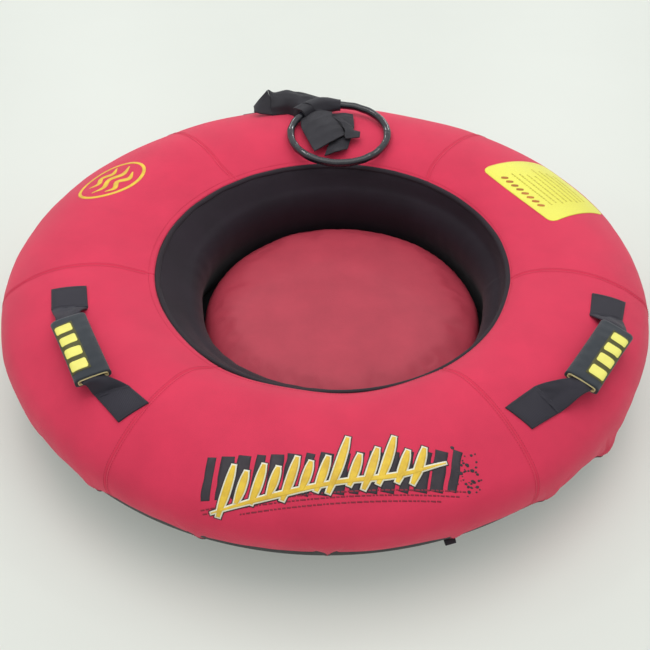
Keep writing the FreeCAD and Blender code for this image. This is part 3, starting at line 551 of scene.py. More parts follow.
def stitches(name, path, normal, pitch=0.004, length=0.0027, width=0.0008, height=0.0005):
    """A row of thread stitches along a path on a surface."""
    along = run_length(path)
    count = int(along[-1] / pitch)
    at = (np.arange(count) + 0.5) * pitch
    middle = np.stack([np.interp(at, along, path[:, k]) for k in range(3)], axis=-1)
    ahead = np.stack([np.interp(at + 0.0004, along, path[:, k]) for k in range(3)], axis=-1) - middle
    ahead /= np.linalg.norm(ahead, axis=1)[:, None]
    up = np.stack([np.interp(at, along, normal[:, k]) for k in range(3)], axis=-1)
    up /= np.linalg.norm(up, axis=1)[:, None]
    side = np.cross(up, ahead)
    rings = []
    for share, thick in ((-0.5, 0.25), (-0.3, 0.85), (0.0, 1.0), (0.3, 0.85), (0.5, 0.25)):
        lift = height * (1.0 - (2 * share) ** 2) - 0.0001
        ring = []
        for corner in range(6):
            angle = corner * math.pi / 3
            ring.append(middle + ahead * share * length + side * (math.cos(angle) * width / 2 * thick)
                        + up * (lift + math.sin(angle) * width / 2 * thick))
        rings.append(np.stack(ring, axis=1))
    points = np.stack(rings, axis=1)
    count, lines, corners = points.shape[:3]
    ids = np.arange(count * lines * corners).reshape(count, lines, corners)
    wrap = np.concatenate([ids, ids[:, :, :1]], axis=2)
    quads = np.stack([wrap[:, :-1, :-1], wrap[:, :-1, 1:], wrap[:, 1:, 1:], wrap[:, 1:, :-1]], axis=-1)
    faces = quads.reshape(-1, 4).tolist()
    faces += ids[:, 0, ::-1].tolist() + ids[:, -1, :].tolist()
    mesh = bpy.data.meshes.new(name)
    mesh.from_pydata(points.reshape(-1, 3).tolist(), [], faces)
    smooth_shaded(mesh)
    piece = link(bpy.data.objects.new(name, mesh))
    set_cloth(mesh, points.reshape(-1, 3)[:, :2])
    return piece


def cover_row(name, az, s, lift=0.0):
    """Stitches along a line of azimuths and rim distances on the cover."""
    low, high = cover_points(az, s, lift), cover_points(az, s, lift + 0.001)
    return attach(stitches(name, low, high - low), "cover")


def make_cover():
    for name, start, sweep in PANELS:
        cover_panel(name, start, sweep)
    rows = []
    s = np.linspace(0.010, HEM - 0.006, 160)
    radius = section(s)[0]
    for start in SEAMS:
        for side in (-STITCH_BESIDE, STITCH_BESIDE):
            az = start + np.degrees(side / radius)
            rows.append(cover_row("seam_row", az, s))
    full = np.linspace(0, 360, 1400)
    for distance in (0.007, HEM - 0.009):
        rows.append(cover_row("edge_row", full, np.full_like(full, distance)))
    piece = joined("cover_stitching", rows)
    finished(piece, "thread")


def bead(name, path, outward, upward, wide, deep, turns=14):
    """A closed tube of oval section round a closed line of points."""
    angle = circle_steps(turns)
    ring = (path[:, None, :] + outward[:, None, :] * (wide * np.cos(angle))[None, :, None]
            + upward[:, None, :] * (deep * np.sin(angle))[None, :, None])
    along = run_length(path)
    cloth = pairs(along[:, None], (angle * wide)[None, :])
    return surface(name, ring, cloth, close_u=True, close_v=True)


def make_bindings():
    """Tape folded over the edge of the well, and piping under the hem."""
    az = np.linspace(0, 360, 720, endpoint=False)
    turn = np.radians(az)
    flat = np.zeros_like(az)
    outward = polar(1.0, turn, flat)
    upward = np.stack([flat, flat, flat + 1], axis=-1)
    low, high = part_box("rim_binding")
    wobble = 0.0003 * ripple(turn * 0.27, flat, 11, 0.04)
    circle = high.x - (high.z - low.z) / 2 + wobble
    rim = lean(polar(circle, turn, (low.z + high.z) / 2))
    along = outward * math.cos(RIM_ANGLE) - upward * math.sin(RIM_ANGLE)
    across = outward * math.sin(RIM_ANGLE) + upward * math.cos(RIM_ANGLE)
    piece = bead("rim_tape", rim, along, across, 0.0043, 0.0027)
    finished(piece, "binding", replaces=["rim_binding"])
    low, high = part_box("hem_binding")
    hem = cover_points(az, HEM + flat + 0.0012, -0.0012)
    half = (high.z - low.z) / 2
    piece = bead("hem_piping", hem, outward, upward, half, half)
    finished(piece, "black", replaces=["hem_binding"])


def make_skirt():
    """The black skirt from the hem down to the base, following the hem's tucks."""
    az = np.linspace(0, 360, 1080, endpoint=False)
    share = np.linspace(0, 1, 26)
    low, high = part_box("bottom_skirt")
    foot = 0.4215
    top = high.x - 0.0005
    radius = top + (foot - top) * share + 0.0105 * share * (1 - share)
    height = (high.z + 0.001) + (low.z - high.z - 0.001) * share
    height -= 0.0085 * share * (1 - share)
    turn = np.radians(az)
    edge = relief(az, np.full_like(az, HEM))
    grow = edge[None, :] * (1 - share[:, None]) ** 1.5
    slack = 0.0016 * (4 * share * (1 - share))[:, None]
    slack = slack * ripple(turn[None, :] * SKIRT_WEAVE, share[:, None] * 0.06, 21, 0.06)
    out = radius[:, None] + grow + slack
    points = polar(out, turn, np.maximum(height[:, None] - slack * 0.5, 0.0006))
    cloth = pairs(turn[None, :] * SKIRT_WEAVE, share[:, None] * 0.07)
    piece = thicken(surface("skirt_cloth", draw_in(points), cloth, close_v=True), 0.0012)
    finished(piece, "black", replaces=["bottom_skirt"])


def make_base():
    """The flat base sheet, with a turned edge and a row of stitches."""
    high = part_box("base_sheet")[1]
    radius = np.append(np.linspace(0.012, high.x - 0.004, 60), [high.x - 0.001, high.x, high.x - 0.001])
    az = circle_steps(360)
    flat = radius[:, None] * np.cos(az), radius[:, None] * np.sin(az)
    rise = 0.0009 * (0.5 + 0.5 * ripple(flat[0], flat[1], 31, 0.09))
    rise *= smooth(0.0, 0.03, high.x - radius)[:, None]
    level = np.concatenate([np.zeros(60), [0.0004, high.z / 2, high.z]])[:, None] + rise
    under = np.stack([flat[0], flat[1], np.maximum(level, 0.0)], axis=-1)
    cloth = np.stack(flat, axis=-1)
    upper = under[::-1].copy()
    upper[..., 2] = high.z - 0.0004 * (upper[..., 2] > 0)
    both = np.concatenate([under, upper[3:]])
    piece = surface("base_cloth", both, np.concatenate([cloth, cloth[::-1][3:]]), close_v=True, close_u=True)
    piece.data.flip_normals()
    finished(piece, "base", replaces=["base_sheet"])
    circle = np.linspace(0, 2 * math.pi, 900)
    ring = (high.x - 0.010) * np.stack([np.cos(circle), np.sin(circle)], axis=-1)
    path = np.column_stack([ring, np.full(len(circle), 0.0006)])
    down = np.tile([0.0, 0.0, -1.0], (len(circle), 1))
    row = stitches("base_stitching", path, down, height=0.0002)
    finished(row, "black_thread")


WALL = ((0.2690, 0.1716), (0.2540, 0.1585), (0.2400, 0.1482), (0.2276, 0.1388), (0.2200, 0.1250),
        (0.2170, 0.1080), (0.2190, 0.0880), (0.2245, 0.0700), (0.2380, 0.0380), (0.2570, 0.0030))


def make_wall():
    """The black wall of the seat well: it bulges inward at its waist, with soft upright folds."""
    profile = curve_through(WALL, 90)
    az = np.linspace(0, 360, 900, endpoint=False)
    turn = np.radians(az)
    depth = smooth(0.0, 0.06, run_length(profile))[:, None]
    folds = 0.0002 * ripple(turn[None, :] * WALL_WEAVE, profile[:, 1:] * 0.35, 41, 0.035)
    folds = folds + 0.0009 * ripple(turn[None, :] * WALL_WEAVE, profile[:, 1:] * 0.6, 43, 0.20)
    radius = profile[:, :1] + depth * folds
    points = polar(radius, turn, profile[:, 1:])
    cloth = pairs(turn[None, :] * WALL_WEAVE, run_length(profile)[:, None])
    piece = thicken(surface("well_wall_cloth", lean(points), cloth, close_v=True), 0.0012)
    piece.data.flip_normals()
    walls = [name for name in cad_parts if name.startswith("wall_")]
    finished(piece, "black", replaces=walls)


def make_inner_tube():
    """The rubber tube inside the cover, pressed into an oval."""
    low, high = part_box("inner_tube")
    half_height = (high.z - low.z) / 2 - 0.0045
    half_width = 0.1325
    middle = high.x - half_width - 0.004
    angle = circle_steps(72)
    az = circle_steps(240)
    power = 0.86
    across = np.sign(np.cos(angle)) * np.abs(np.cos(angle)) ** power * half_width
    rise = np.sign(np.sin(angle)) * np.abs(np.sin(angle)) ** power * half_height
    rise *= 1 - 0.06 * (across / half_width) ** 2
    points = polar((middle + across)[:, None], az, ((low.z + high.z) / 2 + rise)[:, None])
    piece = surface("inner_tube_skin", lean(points), close_u=True, close_v=True)
    piece.data.flip_normals()
    thicken(piece, 0.0018)
    finished(piece, "rubber", replaces=["inner_tube"])


# ---------------------------------------------------------------- seat

def lathe(profile, count):
    """Points of a profile of (radius, height) turned round +Z."""
    turn = circle_steps(count)
    profile = np.asarray(profile, float)
    return polar(profile[:, :1], turn, profile[:, 1:])


def facing_out(piece, close=0):
    """Turn a closed piece's faces outward, after filling its open ends of up to close sides."""
    built = bmesh.new()
    built.from_mesh(piece.data)
    if close:
        open_edges = [edge for edge in built.edges if len(edge.link_faces) == 1]
        bmesh.ops.holes_fill(built, edges=open_edges, sides=close)
    bmesh.ops.recalc_face_normals(built, faces=built.faces)
    built.to_mesh(piece.data)
    built.free()
    return piece


def capped_lathe(name, profile, count):
    """A turned closed piece: the ends of its profile are filled."""
    piece = facing_out(surface(name, lathe(profile, count), close_v=True), count)
    smooth_shaded(piece.data)
    return piece


def coordinates(mesh):
    flat = np.empty(len(mesh.vertices) * 3)
    mesh.vertices.foreach_get("co", flat)
    return flat.reshape(-1, 3)


def remeshed(piece, voxel):
    change = piece.modifiers.new("remesh", "REMESH")
    change.mode, change.voxel_size, change.use_smooth_shade = "VOXEL", voxel, True
    return settle(piece)


def puffed(piece, held, cap, pressure=4.0, frames=20):
    """Blow a closed cloth up a little. held(points) says which points stay where they are."""
    start = coordinates(piece.data)
    pins = piece.vertex_groups.new(name="pins")
    pins.add(np.flatnonzero(held(start)).tolist(), 1.0, "REPLACE")
    cloth = piece.modifiers.new("cloth", "CLOTH")
    cloth.settings.use_pressure = True
    cloth.settings.uniform_pressure_force = pressure
    cloth.settings.effector_weights.gravity = 0.0
    cloth.settings.vertex_group_mass = "pins"
    cloth.settings.quality = 5
    cloth.point_cache.frame_start, cloth.point_cache.frame_end = 1, frames
    scene = bpy.context.scene
    for step in range(1, frames + 1):
        scene.frame_set(step)
    settle(piece)
    scene.frame_set(1)
    end = coordinates(piece.data)
    shift = end - start
    size = np.linalg.norm(shift, axis=1)
    shift *= np.minimum(1.0, cap / np.maximum(size, 1e-9))[:, None]
    piece.data.vertices.foreach_set("co", (start + shift).ravel())
    piece.vertex_groups.clear()
    return piece


# The seat's pad: remeshing, how far it may swell, and the height up to which it is held
SEAT_VOXEL, SEAT_PUFF, SEAT_HELD = 0.0055, 0.0045, 0.034
SEAT_PROFILE = ((0.002, 0.0915), (0.060, 0.0912), (0.110, 0.0902), (0.150, 0.0885), (0.178, 0.0858),
                (0.196, 0.0818), (0.2085, 0.0758), (0.2165, 0.0680), (0.2195, 0.0585), (0.2195, 0.0470),
                (0.2180, 0.0380), (0.2150, 0.0315))


def make_seat():
    """The vinyl seat: a domed pad, blown up a little by simulation, gathered at its edge."""
    profile = curve_through(SEAT_PROFILE, 50)
    profile = np.concatenate([profile, [[0.205, 0.0305], [0.10, 0.0305], [0.002, 0.0305]]])
    piece = remeshed(capped_lathe("seat_cushion", profile, 180), SEAT_VOXEL)
    puffed(piece, lambda points: points[:, 2] < SEAT_HELD, SEAT_PUFF)
    grow = piece.modifiers.new("smooth", "SUBSURF")
    grow.levels = grow.render_levels = 1
    settle(piece)
    points = coordinates(piece.data)
    radius, turn = np.hypot(points[:, 0], points[:, 1]), np.arctan2(points[:, 1], points[:, 0])
    edge = smooth(0.165, 0.212, radius) * smooth(0.032, 0.05, points[:, 2])
    gathers = 0.00012 * ripple(turn * 0.21, points[:, 2] * 0.3, 51, 0.016) * edge
    soft = 0.0006 * ripple(points[:, 0], points[:, 1], 53, 0.11)
    points[:, 2] += soft * smooth(0.05, 0.07, points[:, 2])
    points[:, :2] *= (1 + gathers / np.maximum(radius, 0.05))[:, None]
    points[:, 2] += gathers
    points = lean(points)
    piece.data.vertices.foreach_set("co", points.ravel())
    smooth_shaded(piece.data)
    set_cloth(piece.data, points[:, :2])
    finished(piece, "seat", replaces=["seat_cover"])
    core = ((0.002, 0.080), (0.12, 0.078), (0.18, 0.070), (0.202, 0.058), (0.206, 0.040), (0.204, 0.034),
            (0.10, 0.0335), (0.002, 0.0335))
    foam = capped_lathe("seat_foam_pad", curve_through(core, 40), 120)
    points = coordinates(foam.data)
    points[:, 2] += 0.0006 * ripple(points[:, 0], points[:, 1], 55, 0.03)
    foam.data.vertices.foreach_set("co", lean(points).ravel())
    finished(foam, "foam", replaces=["seat_foam"])


# ---------------------------------------------------------------- prints and patch

# Where the prints and the patch are: azimuth, radius and turn of their middles
FRONT_PLACE, SIDE_PLACE, PATCH_PLACE = (271.5, 0.447, 180.0), (151.5, 0.402, 172.0), (26.6, 0.411, 6.4)
PATCH_LENGTH, PATCH_WIDTH, PATCH_THICK = 0.168, 0.140, 0.0007
PRINT_THICK, PRINT_LIFT, PATCH_PRINT = 0.00018, 0.00022, 0.0009


def rounded_grid(length, width, corner, nx, ny):
    """Grid places (x, y) of a rectangle with rounded corners."""
    x = np.linspace(-length / 2, length / 2, nx)
    past = np.maximum(np.abs(x) - (length / 2 - corner), 0.0)
    half = width / 2 - corner + np.sqrt(np.maximum(corner ** 2 - past ** 2, 0.0)) - 1e-5
    y = np.linspace(-1, 1, ny)[None, :] * half[:, None]
    return np.repeat(x[:, None], ny, axis=1), y


def stroke(name, place, line, widths, lift, count, grow=0.0, blunt=False):
    """A printed stroke on the cover, along a line of places, as wide as widths says."""
    middle = curve_through(line, count)
    wide = curve_through(np.asarray(widths, float)[:, None], count)[:, 0] / 2 + grow
    ahead = np.gradient(middle, axis=0)
    ahead /= np.linalg.norm(ahead, axis=1)[:, None]
    if grow and not blunt:
        middle[0] -= ahead[0] * grow
        middle[-1] += ahead[-1] * grow
    side = np.stack([-ahead[:, 1], ahead[:, 0]], axis=-1)
    across = np.linspace(-1, 1, 5)
    flat = middle[:, None, :] + side[:, None, :] * (across[None, :] * wide[:, None])[..., None]
    az, s = on_plane(*place, flat[..., 0], flat[..., 1])
    return thicken(surface(name, cover_points(az, s, lift), flat, upward=True), PRINT_THICK)


def slab(place, x, y, wide, tall, slant, seed):
    """A solid printed block with uneven edges."""
    dice = np.random.default_rng(seed)
    stops = []
    for share in np.linspace(0, 1, 7):
        shift = dice.uniform(-0.0005, 0.0005)
        stops.append((x + slant * (share - 0.5) + shift, y + tall * (share - 0.5)))
    widths = wide * dice.uniform(0.94, 1.05, 7)
    return stroke("slab", place, stops, widths, PRINT_LIFT, 26)


def dashes(place, x0, x1, level, rise, height, seed, lift=PRINT_LIFT):
    """A row of short printed dashes of uneven length."""
    dice = np.random.default_rng(seed)
    pieces, x = [], x0
    while x < x1:
        long = dice.uniform(0.5, 1.7) * 0.0042
        y = level + rise * (x - x0) / (x1 - x0)
        line = [(x, y), (x + long / 2, y), (x + long, y)]
        pieces.append(stroke("dash", place, line, (height,) * 3, lift, 5))
        x += long + 0.0016
    return pieces


def make_front_print():
    """A print on the front: parallel dark bars, flecks, rows of dashes, and amber slashes over them."""
    place = FRONT_PLACE
    dark = []
    for i in range(16):
        x = -0.160 + 0.0212 * i
        middle = 0.008 + 0.30 * x ** 2 + 0.020 * x
        dark.append(slab(place, x, middle, 0.0175 if i % 3 else 0.0120, 0.056, 0.010, 120 + i))
    dice = np.random.default_rng(9)
    for _ in range(46):
        x, y = dice.uniform(0.158, 0.194), dice.normal(0.014, 0.014)
        size = dice.uniform(0.0014, 0.0060)
        turn = dice.uniform(0, math.pi)
        way = (math.cos(turn) * size, math.sin(turn) * size * 0.6)
        line = [(x + way[0] * share, y + way[1] * share) for share in (0.0, 0.5, 1.0)]
        dark.append(stroke("fleck", place, line, (size * 0.5, size * 0.8, size * 0.3), PRINT_LIFT, 7))
    blocks = joined("front_print_blocks", dark)
    finished(blocks, "dark")
    rows = []
    spans = ((-0.172, 0.172, -0.0270, 0.0200), (-0.170, 0.160, -0.0325, 0.0180),
             (-0.120, 0.140, -0.0380, 0.0150))
    for i, span in enumerate(spans):
        rows += dashes(place, *span, 0.0021, 140 + i)
    small = joined("front_print_dashes", rows)
    finished(small, "wine")
    lengths = (0.064, 0.040, 0.050, 0.036, 0.056, 0.038, 0.046, 0.076, 0.042, 0.056, 0.066, 0.044, 0.050)
    slashes = []
    for i, long in enumerate(lengths):
        x = -0.138 + 0.0207 * i
        y = -0.006 + 0.110 * (x + 0.138) + (0.010 if i in (7, 10) else 0.0)
        run = long * 0.36
        slashes.append(([(x - run / 2, y - long / 2), (x - run * 0.05, y - long * 0.12),
                         (x + run * 0.30, y + long * 0.25), (x + run / 2, y + long / 2)],
                        (0.0052, 0.0098, 0.0088, 0.0045)))
    slashes.append(([(-0.158, -0.032), (-0.080, -0.019), (0.000, -0.005), (0.080, 0.006), (0.146, 0.028)],
                    (0.0015, 0.0060, 0.0050, 0.0060, 0.0015)))
    for name, key, grow, lift in (("shadow", "dark", 0.0032, 0.00045), ("edge", "white", 0.0019, 0.00068),
                                  ("slashes", "orange", 0.0, 0.00092)):
        parts = [stroke(name, place, line, widths, lift + 0.00004 * (i % 2), count=90, grow=grow)
                 for i, (line, widths) in enumerate(slashes)]
        finished(joined("front_print_" + name, parts), key)


def make_side_print():
    """A yellow ring with three ripples in it, printed on the left at the back."""
    place = SIDE_PLACE
    turn = np.linspace(0, 2 * math.pi, 25)
    oval = [(0.060 * math.cos(a) - 0.006 * math.sin(a), 0.042 * math.sin(a)) for a in turn]
    strokes = [stroke("oval", place, oval, (0.0058,) * 25, 0.0003, 150, blunt=True)]
    for i in range(3):
        up = 0.019 - 0.019 * i
        reach = 0.046 - 0.012 * abs(i - 1)
        line = [(-reach, up - 0.003), (-reach * 0.45, up + 0.006), (reach * 0.05, up - 0.004),
                (reach * 0.55, up + 0.006), (reach, up - 0.001)]
        strokes.append(stroke("ripple", place, line, (0.002, 0.0085, 0.0085, 0.0080, 0.002), 0.0003, 70))
    piece = joined("side_print_ripples", strokes)
    finished(piece, "orange")


def make_patch():
    """The yellow patch at the right: a row of blocks along its edge, and rows of dashes."""
    place = PATCH_PLACE
    x, y = rounded_grid(PATCH_LENGTH, PATCH_WIDTH, 0.013, 70, 60)
    points = cover_points(*on_plane(*place, x * (1 - y) - 0.004, y), PATCH_THICK)
    piece = thicken(surface("yellow_patch_cloth", points, pairs(x, y), upward=True), PATCH_THICK)
    finished(piece, "label", replaces=["yellow_patch"])
    fine, bold = [], []
    for i in range(8):
        level = -0.036 + 0.0112 * i
        reach = 0.056 - 0.007 * ((i * 5) % 4)
        fine += dashes(place, -reach, 0.046, level, 0.0, 0.0030, 160 + i, lift=PATCH_PRINT)
    for i in range(8):
        x = -0.056 + 0.0132 * i
        bold.append(stroke("block", place, [(x, -0.058), (x + 0.004, -0.0535), (x + 0.0075, -0.049)],
                           (0.0048, 0.0066, 0.0044), PATCH_PRINT, 9))
    finished(joined("patch_dashes", fine), "mustard")
    finished(joined("patch_blocks", bold), "rust")


# ---------------------------------------------------------------- handles

def loop_points(width, depth, corner, inset, count):
    """A rounded rectangle from the middle of its top, going outward (+y): places and distance round."""
    wide, deep, arc = width / 2 - inset, depth / 2 - inset, max(corner - inset, 0.001)
    places = [(0.0, deep)]
    for sign_y, sign_z, begin in ((1, 1, 90), (1, -1, 0), (-1, -1, -90), (-1, 1, 180)):
        for step in range(9):
            angle = math.radians(begin - step * 90 / 8)
            places.append((sign_y * (wide - arc) + arc * math.cos(angle),
                           sign_z * (deep - arc) + arc * math.sin(angle)))
    places.append((0.0, deep))
    line = np.array(places)
    along = run_length(line)
    at = np.linspace(0, along[-1], count, endpoint=False)
    return np.stack([np.interp(at, along, line[:, k]) for k in range(2)], axis=-1), at


def grip_points(x, loop, half):
    """Grip surface places: the sleeve is bowed along its length and slack in its middle."""
    share = x / half
    bow = -GRIP_BOW * share ** 2
    slim = 0.95 - GRIP_SAG * share ** 2
    y = loop[None, :, 0] * (GRIP_SPREAD + GRIP_FLARE * share[:, None] ** 2)
    z = loop[None, :, 1] * slim[:, None] + bow[:, None] - 0.0016 * (loop[None, :, 0] / 0.023) ** 2
    return np.stack([x[:, None] + 0 * y, y, z], axis=-1)


def sleeve_wrinkle(x, at):
    return 0.0004 * ripple(x, at, 61, 0.02)


def make_grip(name, centre):
    half = GRIP_LENGTH / 2
    x = np.linspace(-half, half, 50)
    loop, at = loop_points(GRIP_WIDTH, GRIP_DEPTH, GRIP_ROUND, 0.0, 96)
    points = grip_points(x, loop, half)
    points[..., 2] += sleeve_wrinkle(x[:, None], at[None, :]) * np.sign(loop[None, :, 1])
    cloth = pairs(x[:, None], at[None, :])
    grip = surface(name + "_grip_sleeve", moved(points, centre), cloth, close_v=True)
    thicken(outward(grip, centre), GRIP_FOAM)
    finished(grip, "grip", name, [name + "_grip"])
    ends = np.linspace(-half - 0.0012, half + 0.0012, 30)
    inner, at = loop_points(GRIP_WIDTH, GRIP_DEPTH, GRIP_ROUND, GRIP_FOAM + 0.0001, 72)
    cloth = pairs(ends[:, None], at[None, :])
    points = moved(grip_points(ends, inner, half), centre)
    lining = surface(name + "_grip_lining", points, cloth, close_v=True)
    thicken(outward(lining, centre), 0.0009)
    finished(lining, "lining", name, [name + "_lining"])
    edges = []
    for side in (-1, 1):
        rim = grip_points(np.array([side * half]), loop, half)[0]
        inside = grip_points(np.array([side * half]), loop * [0.86, 0.62], half)[0]
        path = moved((rim + inside) / 2, centre)
        facing = np.tile(np.array(centre.to_3x3() @ Vector((side, 0, 0))), (len(path), 1))
        edges.append(stitches("edge", np.vstack([path, path[:1]]), np.vstack([facing, facing[:1]]),
                              pitch=0.0034, length=0.0026, width=0.0006))
    piece = joined(name + "_grip_edging", edges)
    finished(piece, "black_thread", name)
    make_marks(name, centre)


def on_grip(centre, x, reach, lift):
    """A thin print wrapped on the grip: places x along it, distances reach from its top's middle outward."""
    loop, at = loop_points(GRIP_WIDTH, GRIP_DEPTH, GRIP_ROUND, -lift, 400)
    wrapped = reach % (at[-1] + at[1])
    band = np.stack([np.interp(wrapped, at, loop[:, k]) for k in range(2)], axis=-1)
    points = grip_points(np.zeros(1), band, GRIP_LENGTH / 2)[0]
    share = x / (GRIP_LENGTH / 2)
    points = np.broadcast_to(points[None], x.shape + (3,)).copy()
    points[..., 0] = x
    points[..., 1] *= 1 + GRIP_FLARE / GRIP_SPREAD * share ** 2
    points[..., 2] -= (band[None, :, 1] * GRIP_SAG + GRIP_BOW) * share ** 2
    points[..., 2] += sleeve_wrinkle(x, wrapped[None, :]) * np.sign(band[None, :, 1])
    cloth = pairs(x, reach[None, :])
    return settle(thicken(outward(surface("mark", moved(points, centre), cloth), centre), 0.0003))


def outward(piece, centre):
    """Make a sleeve's normals point away from its axis."""
    axis = centre.inverted()
    mesh = piece.data
    total = 0.0
    for face in mesh.polygons:
        place, normal = axis @ face.center, axis.to_3x3() @ face.normal
        total += place.y * normal.y + place.z * normal.z
    if total < 0:
        mesh.flip_normals()
    return piece


def make_marks(name, centre):
    """Yellow marks over the top and the outer edge of the grip, on a dark band."""
    first, last, corner = -0.0005, 0.0218, 0.0028
    reach = np.linspace(first, last, 30)
    past = np.maximum(np.maximum(first + corner - reach, reach - last + corner), 0.0)
    half = MARK_LENGTH / 2 - corner + np.sqrt(np.maximum(corner ** 2 - past ** 2, 0.0))
    across = np.linspace(-1, 1, 14)[:, None]
    marks = []
    for i in range(MARKS):
        middle = (i - (MARKS - 1) / 2) * MARK_PITCH
        marks.append(on_grip(centre, middle + across * half[None, :], reach, 0.0007))
    finished(joined(name + "_grip_marks", marks), "yellow", name, [name + "_marks"])
    wide = (MARKS - 1) / 2 * MARK_PITCH + MARK_LENGTH / 2 + 0.0030
    ground = on_grip(centre, np.repeat(np.linspace(-wide, wide, 60)[:, None], 30, axis=1),
                     np.linspace(first - 0.0022, last + 0.0022, 30), 0.00035)
    ground.name = name + "_grip_ground"
    finished(ground, "olive", name)


def ribbon(name, stations, count, across=21, thickness=0.0018, crumple=0.0, seed=0, crisp=False, stretch=1.0):
    """Webbing through stations, each a row of points from one edge to the other."""
    lines = curve_through(stations, count, crisp)
    points = np.swapaxes(curve_through(np.swapaxes(lines, 0, 1), across), 0, 1)
    along = run_length(points[:, across // 2])
    steps = np.linalg.norm(np.diff(points, axis=1), axis=-1)
    v = np.concatenate([np.zeros((count, 1)), np.cumsum(steps, axis=1)], axis=1)
    v -= v[:, -1:] / 2
    cloth = np.stack([np.repeat(along[:, None], across, axis=1), v], axis=-1)
    if crumple:
        normal = np.cross(np.gradient(points, axis=0), np.gradient(points, axis=1))
        normal /= np.maximum(np.linalg.norm(normal, axis=-1, keepdims=True), 1e-9)
        soft = ripple(cloth[..., 0] / stretch, cloth[..., 1], seed, 0.028)
        fold = -np.abs(ripple(cloth[..., 0] / stretch, cloth[..., 1], seed + 500, 0.034))
        points = points + normal * (crumple * (0.6 * soft + 0.9 * fold + 0.5))[..., None]
    return thicken(surface(name, points, cloth), thickness, offset=0.0)


def between(corners, u, v):
    """Places of a four-cornered tab: u runs away from the grip, v from the inner side out."""
    near_in, near_out, far_in, far_out = (np.array(corner) for corner in corners)
    u, v = np.broadcast_arrays(np.asarray(u, float), np.asarray(v, float))
    u, v = u[..., None], v[..., None]
    return (near_in * (1 - v) + near_out * v) * (1 - u) + (far_in * (1 - v) + far_out * v) * u


def tab_points(corners, u, v, lift):
    flat = between(corners, u, v)
    az, s = over(flat[..., 0], flat[..., 1])
    return cover_points(az, s, lift), flat


def make_handle(name, azimuth, radius, turn, along, out, first_tab, last_tab):
    base = touching_frame(azimuth, radius, turn)
    centre = base @ Matrix.Translation((along, out, GRIP_HEIGHT)) @ rotation(GRIP_TILT, "X")
    make_grip(name, centre)
    lift = np.array(base.to_3x3() @ Vector((0, 0, 1)))
    tabs, rows = [], []
    share = np.linspace(0, 1, 26)
    for side, corners in ((1, first_tab), (-1, last_tab)):
        points, flat = tab_points(corners, share[:, None], share[None, :], WEB_THICK)
        tabs.append(thicken(surface("tab", points, flat, upward=True), WEB_THICK))
        box = ((0.10, 0.08), (0.92, 0.08), (0.92, 0.92), (0.10, 0.92))
        lines = zip(box, box[1:] + box[:1])
        for (u0, v0), (u1, v1) in lines:
            u, v = np.linspace(u0, u1, 30), np.linspace(v0, v1, 30)
            low = tab_points(corners, u, v, WEB_THICK)[0]
            high = tab_points(corners, u, v, WEB_THICK + 0.001)[0]
            rows.append(stitches("row", low, high - low, pitch=0.0032, length=0.0022, width=0.0006,
                                 height=0.0003))
        make_web(name, corners, centre, side, lift)
    finished(joined(name + "_tab_stitches", rows), "black_thread")
    piece = joined(name + "_tab_webbing", tabs)
    finished(piece, "webbing", replaces=[name + "_tabs"])
    inside = [((x, -0.014, -0.003), (x, 0.0, -0.0012), (x, 0.014, -0.003)) for x in (-0.058, 0.0, 0.058)]
    stations = moved(np.array(inside), centre)
    core = ribbon(name + "_web_inside", stations, 20, thickness=0.004)
    finished(core, "webbing", name, [name + "_web"])


def make_web(name, corners, centre, side, lift):
    """The free webbing from a tab up into the grip, gathered on its way."""
    v = np.array([0.0, 0.25, 0.5, 0.75, 1.0])
    root = tab_points(corners, 0.14, v, WEB_THICK / 2)[0]
    foot = tab_points(corners, 0.0, v, WEB_THICK / 2)[0]
    across = np.array([-1.0, -0.5, 0.0, 0.5, 1.0])
    crown = 1 - across ** 2
    end = side * GRIP_LENGTH / 2
    mouth, inner = (
        moved(np.column_stack([0 * across + end + side * reach, half * across, low + 0.0020 * crown]), centre)
        for reach, half, low in ((0.002, 0.0165, -0.0036), (-0.007, 0.0150, -0.0030)))
    if np.linalg.norm(mouth[0] - foot[0]) > np.linalg.norm(mouth[-1] - foot[0]):
        mouth, inner = mouth[::-1], inner[::-1]
    near = foot * 0.72 + mouth * 0.28 + lift * 0.0016
    far = foot * 0.32 + mouth * 0.68 + lift * 0.0030
    narrow = far.mean(axis=0)
    far = narrow + (far - narrow) * 0.93
    stations = np.stack([root, foot, near, far, mouth, inner])
    piece = settle(ribbon("%s_web_%s" % (name, "first" if side > 0 else "last"), stations, 48,
                          thickness=WEB_THICK, crumple=0.0012, seed=71 + side, stretch=1.6))
    finished(piece, "webbing", None)
    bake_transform(piece)


# ---------------------------------------------------------------- tow gear

def ring_frame():
    return Matrix.Translation(RING_CENTRE) @ rotation(RING_TILT, "X")


def make_ring():
    """The coated tow ring: a bar with the small unevenness of a sleeve shrunk over it."""
    turn = circle_steps(240)
    angle = circle_steps(24)
    bar = RING_BAR + 0.00025 * ripple(turn[:, None] * 0.083, angle[None, :] * 0.0065, 81, 0.022)
    radius = RING_CIRCLE + bar * np.cos(angle)
    points = polar(radius, turn[:, None], bar * np.sin(angle))
    piece = surface("tow_ring_bar", moved(points, ring_frame()), close_u=True, close_v=True)
    finished(piece, "ring", "tow_ring", ["tow_ring"])


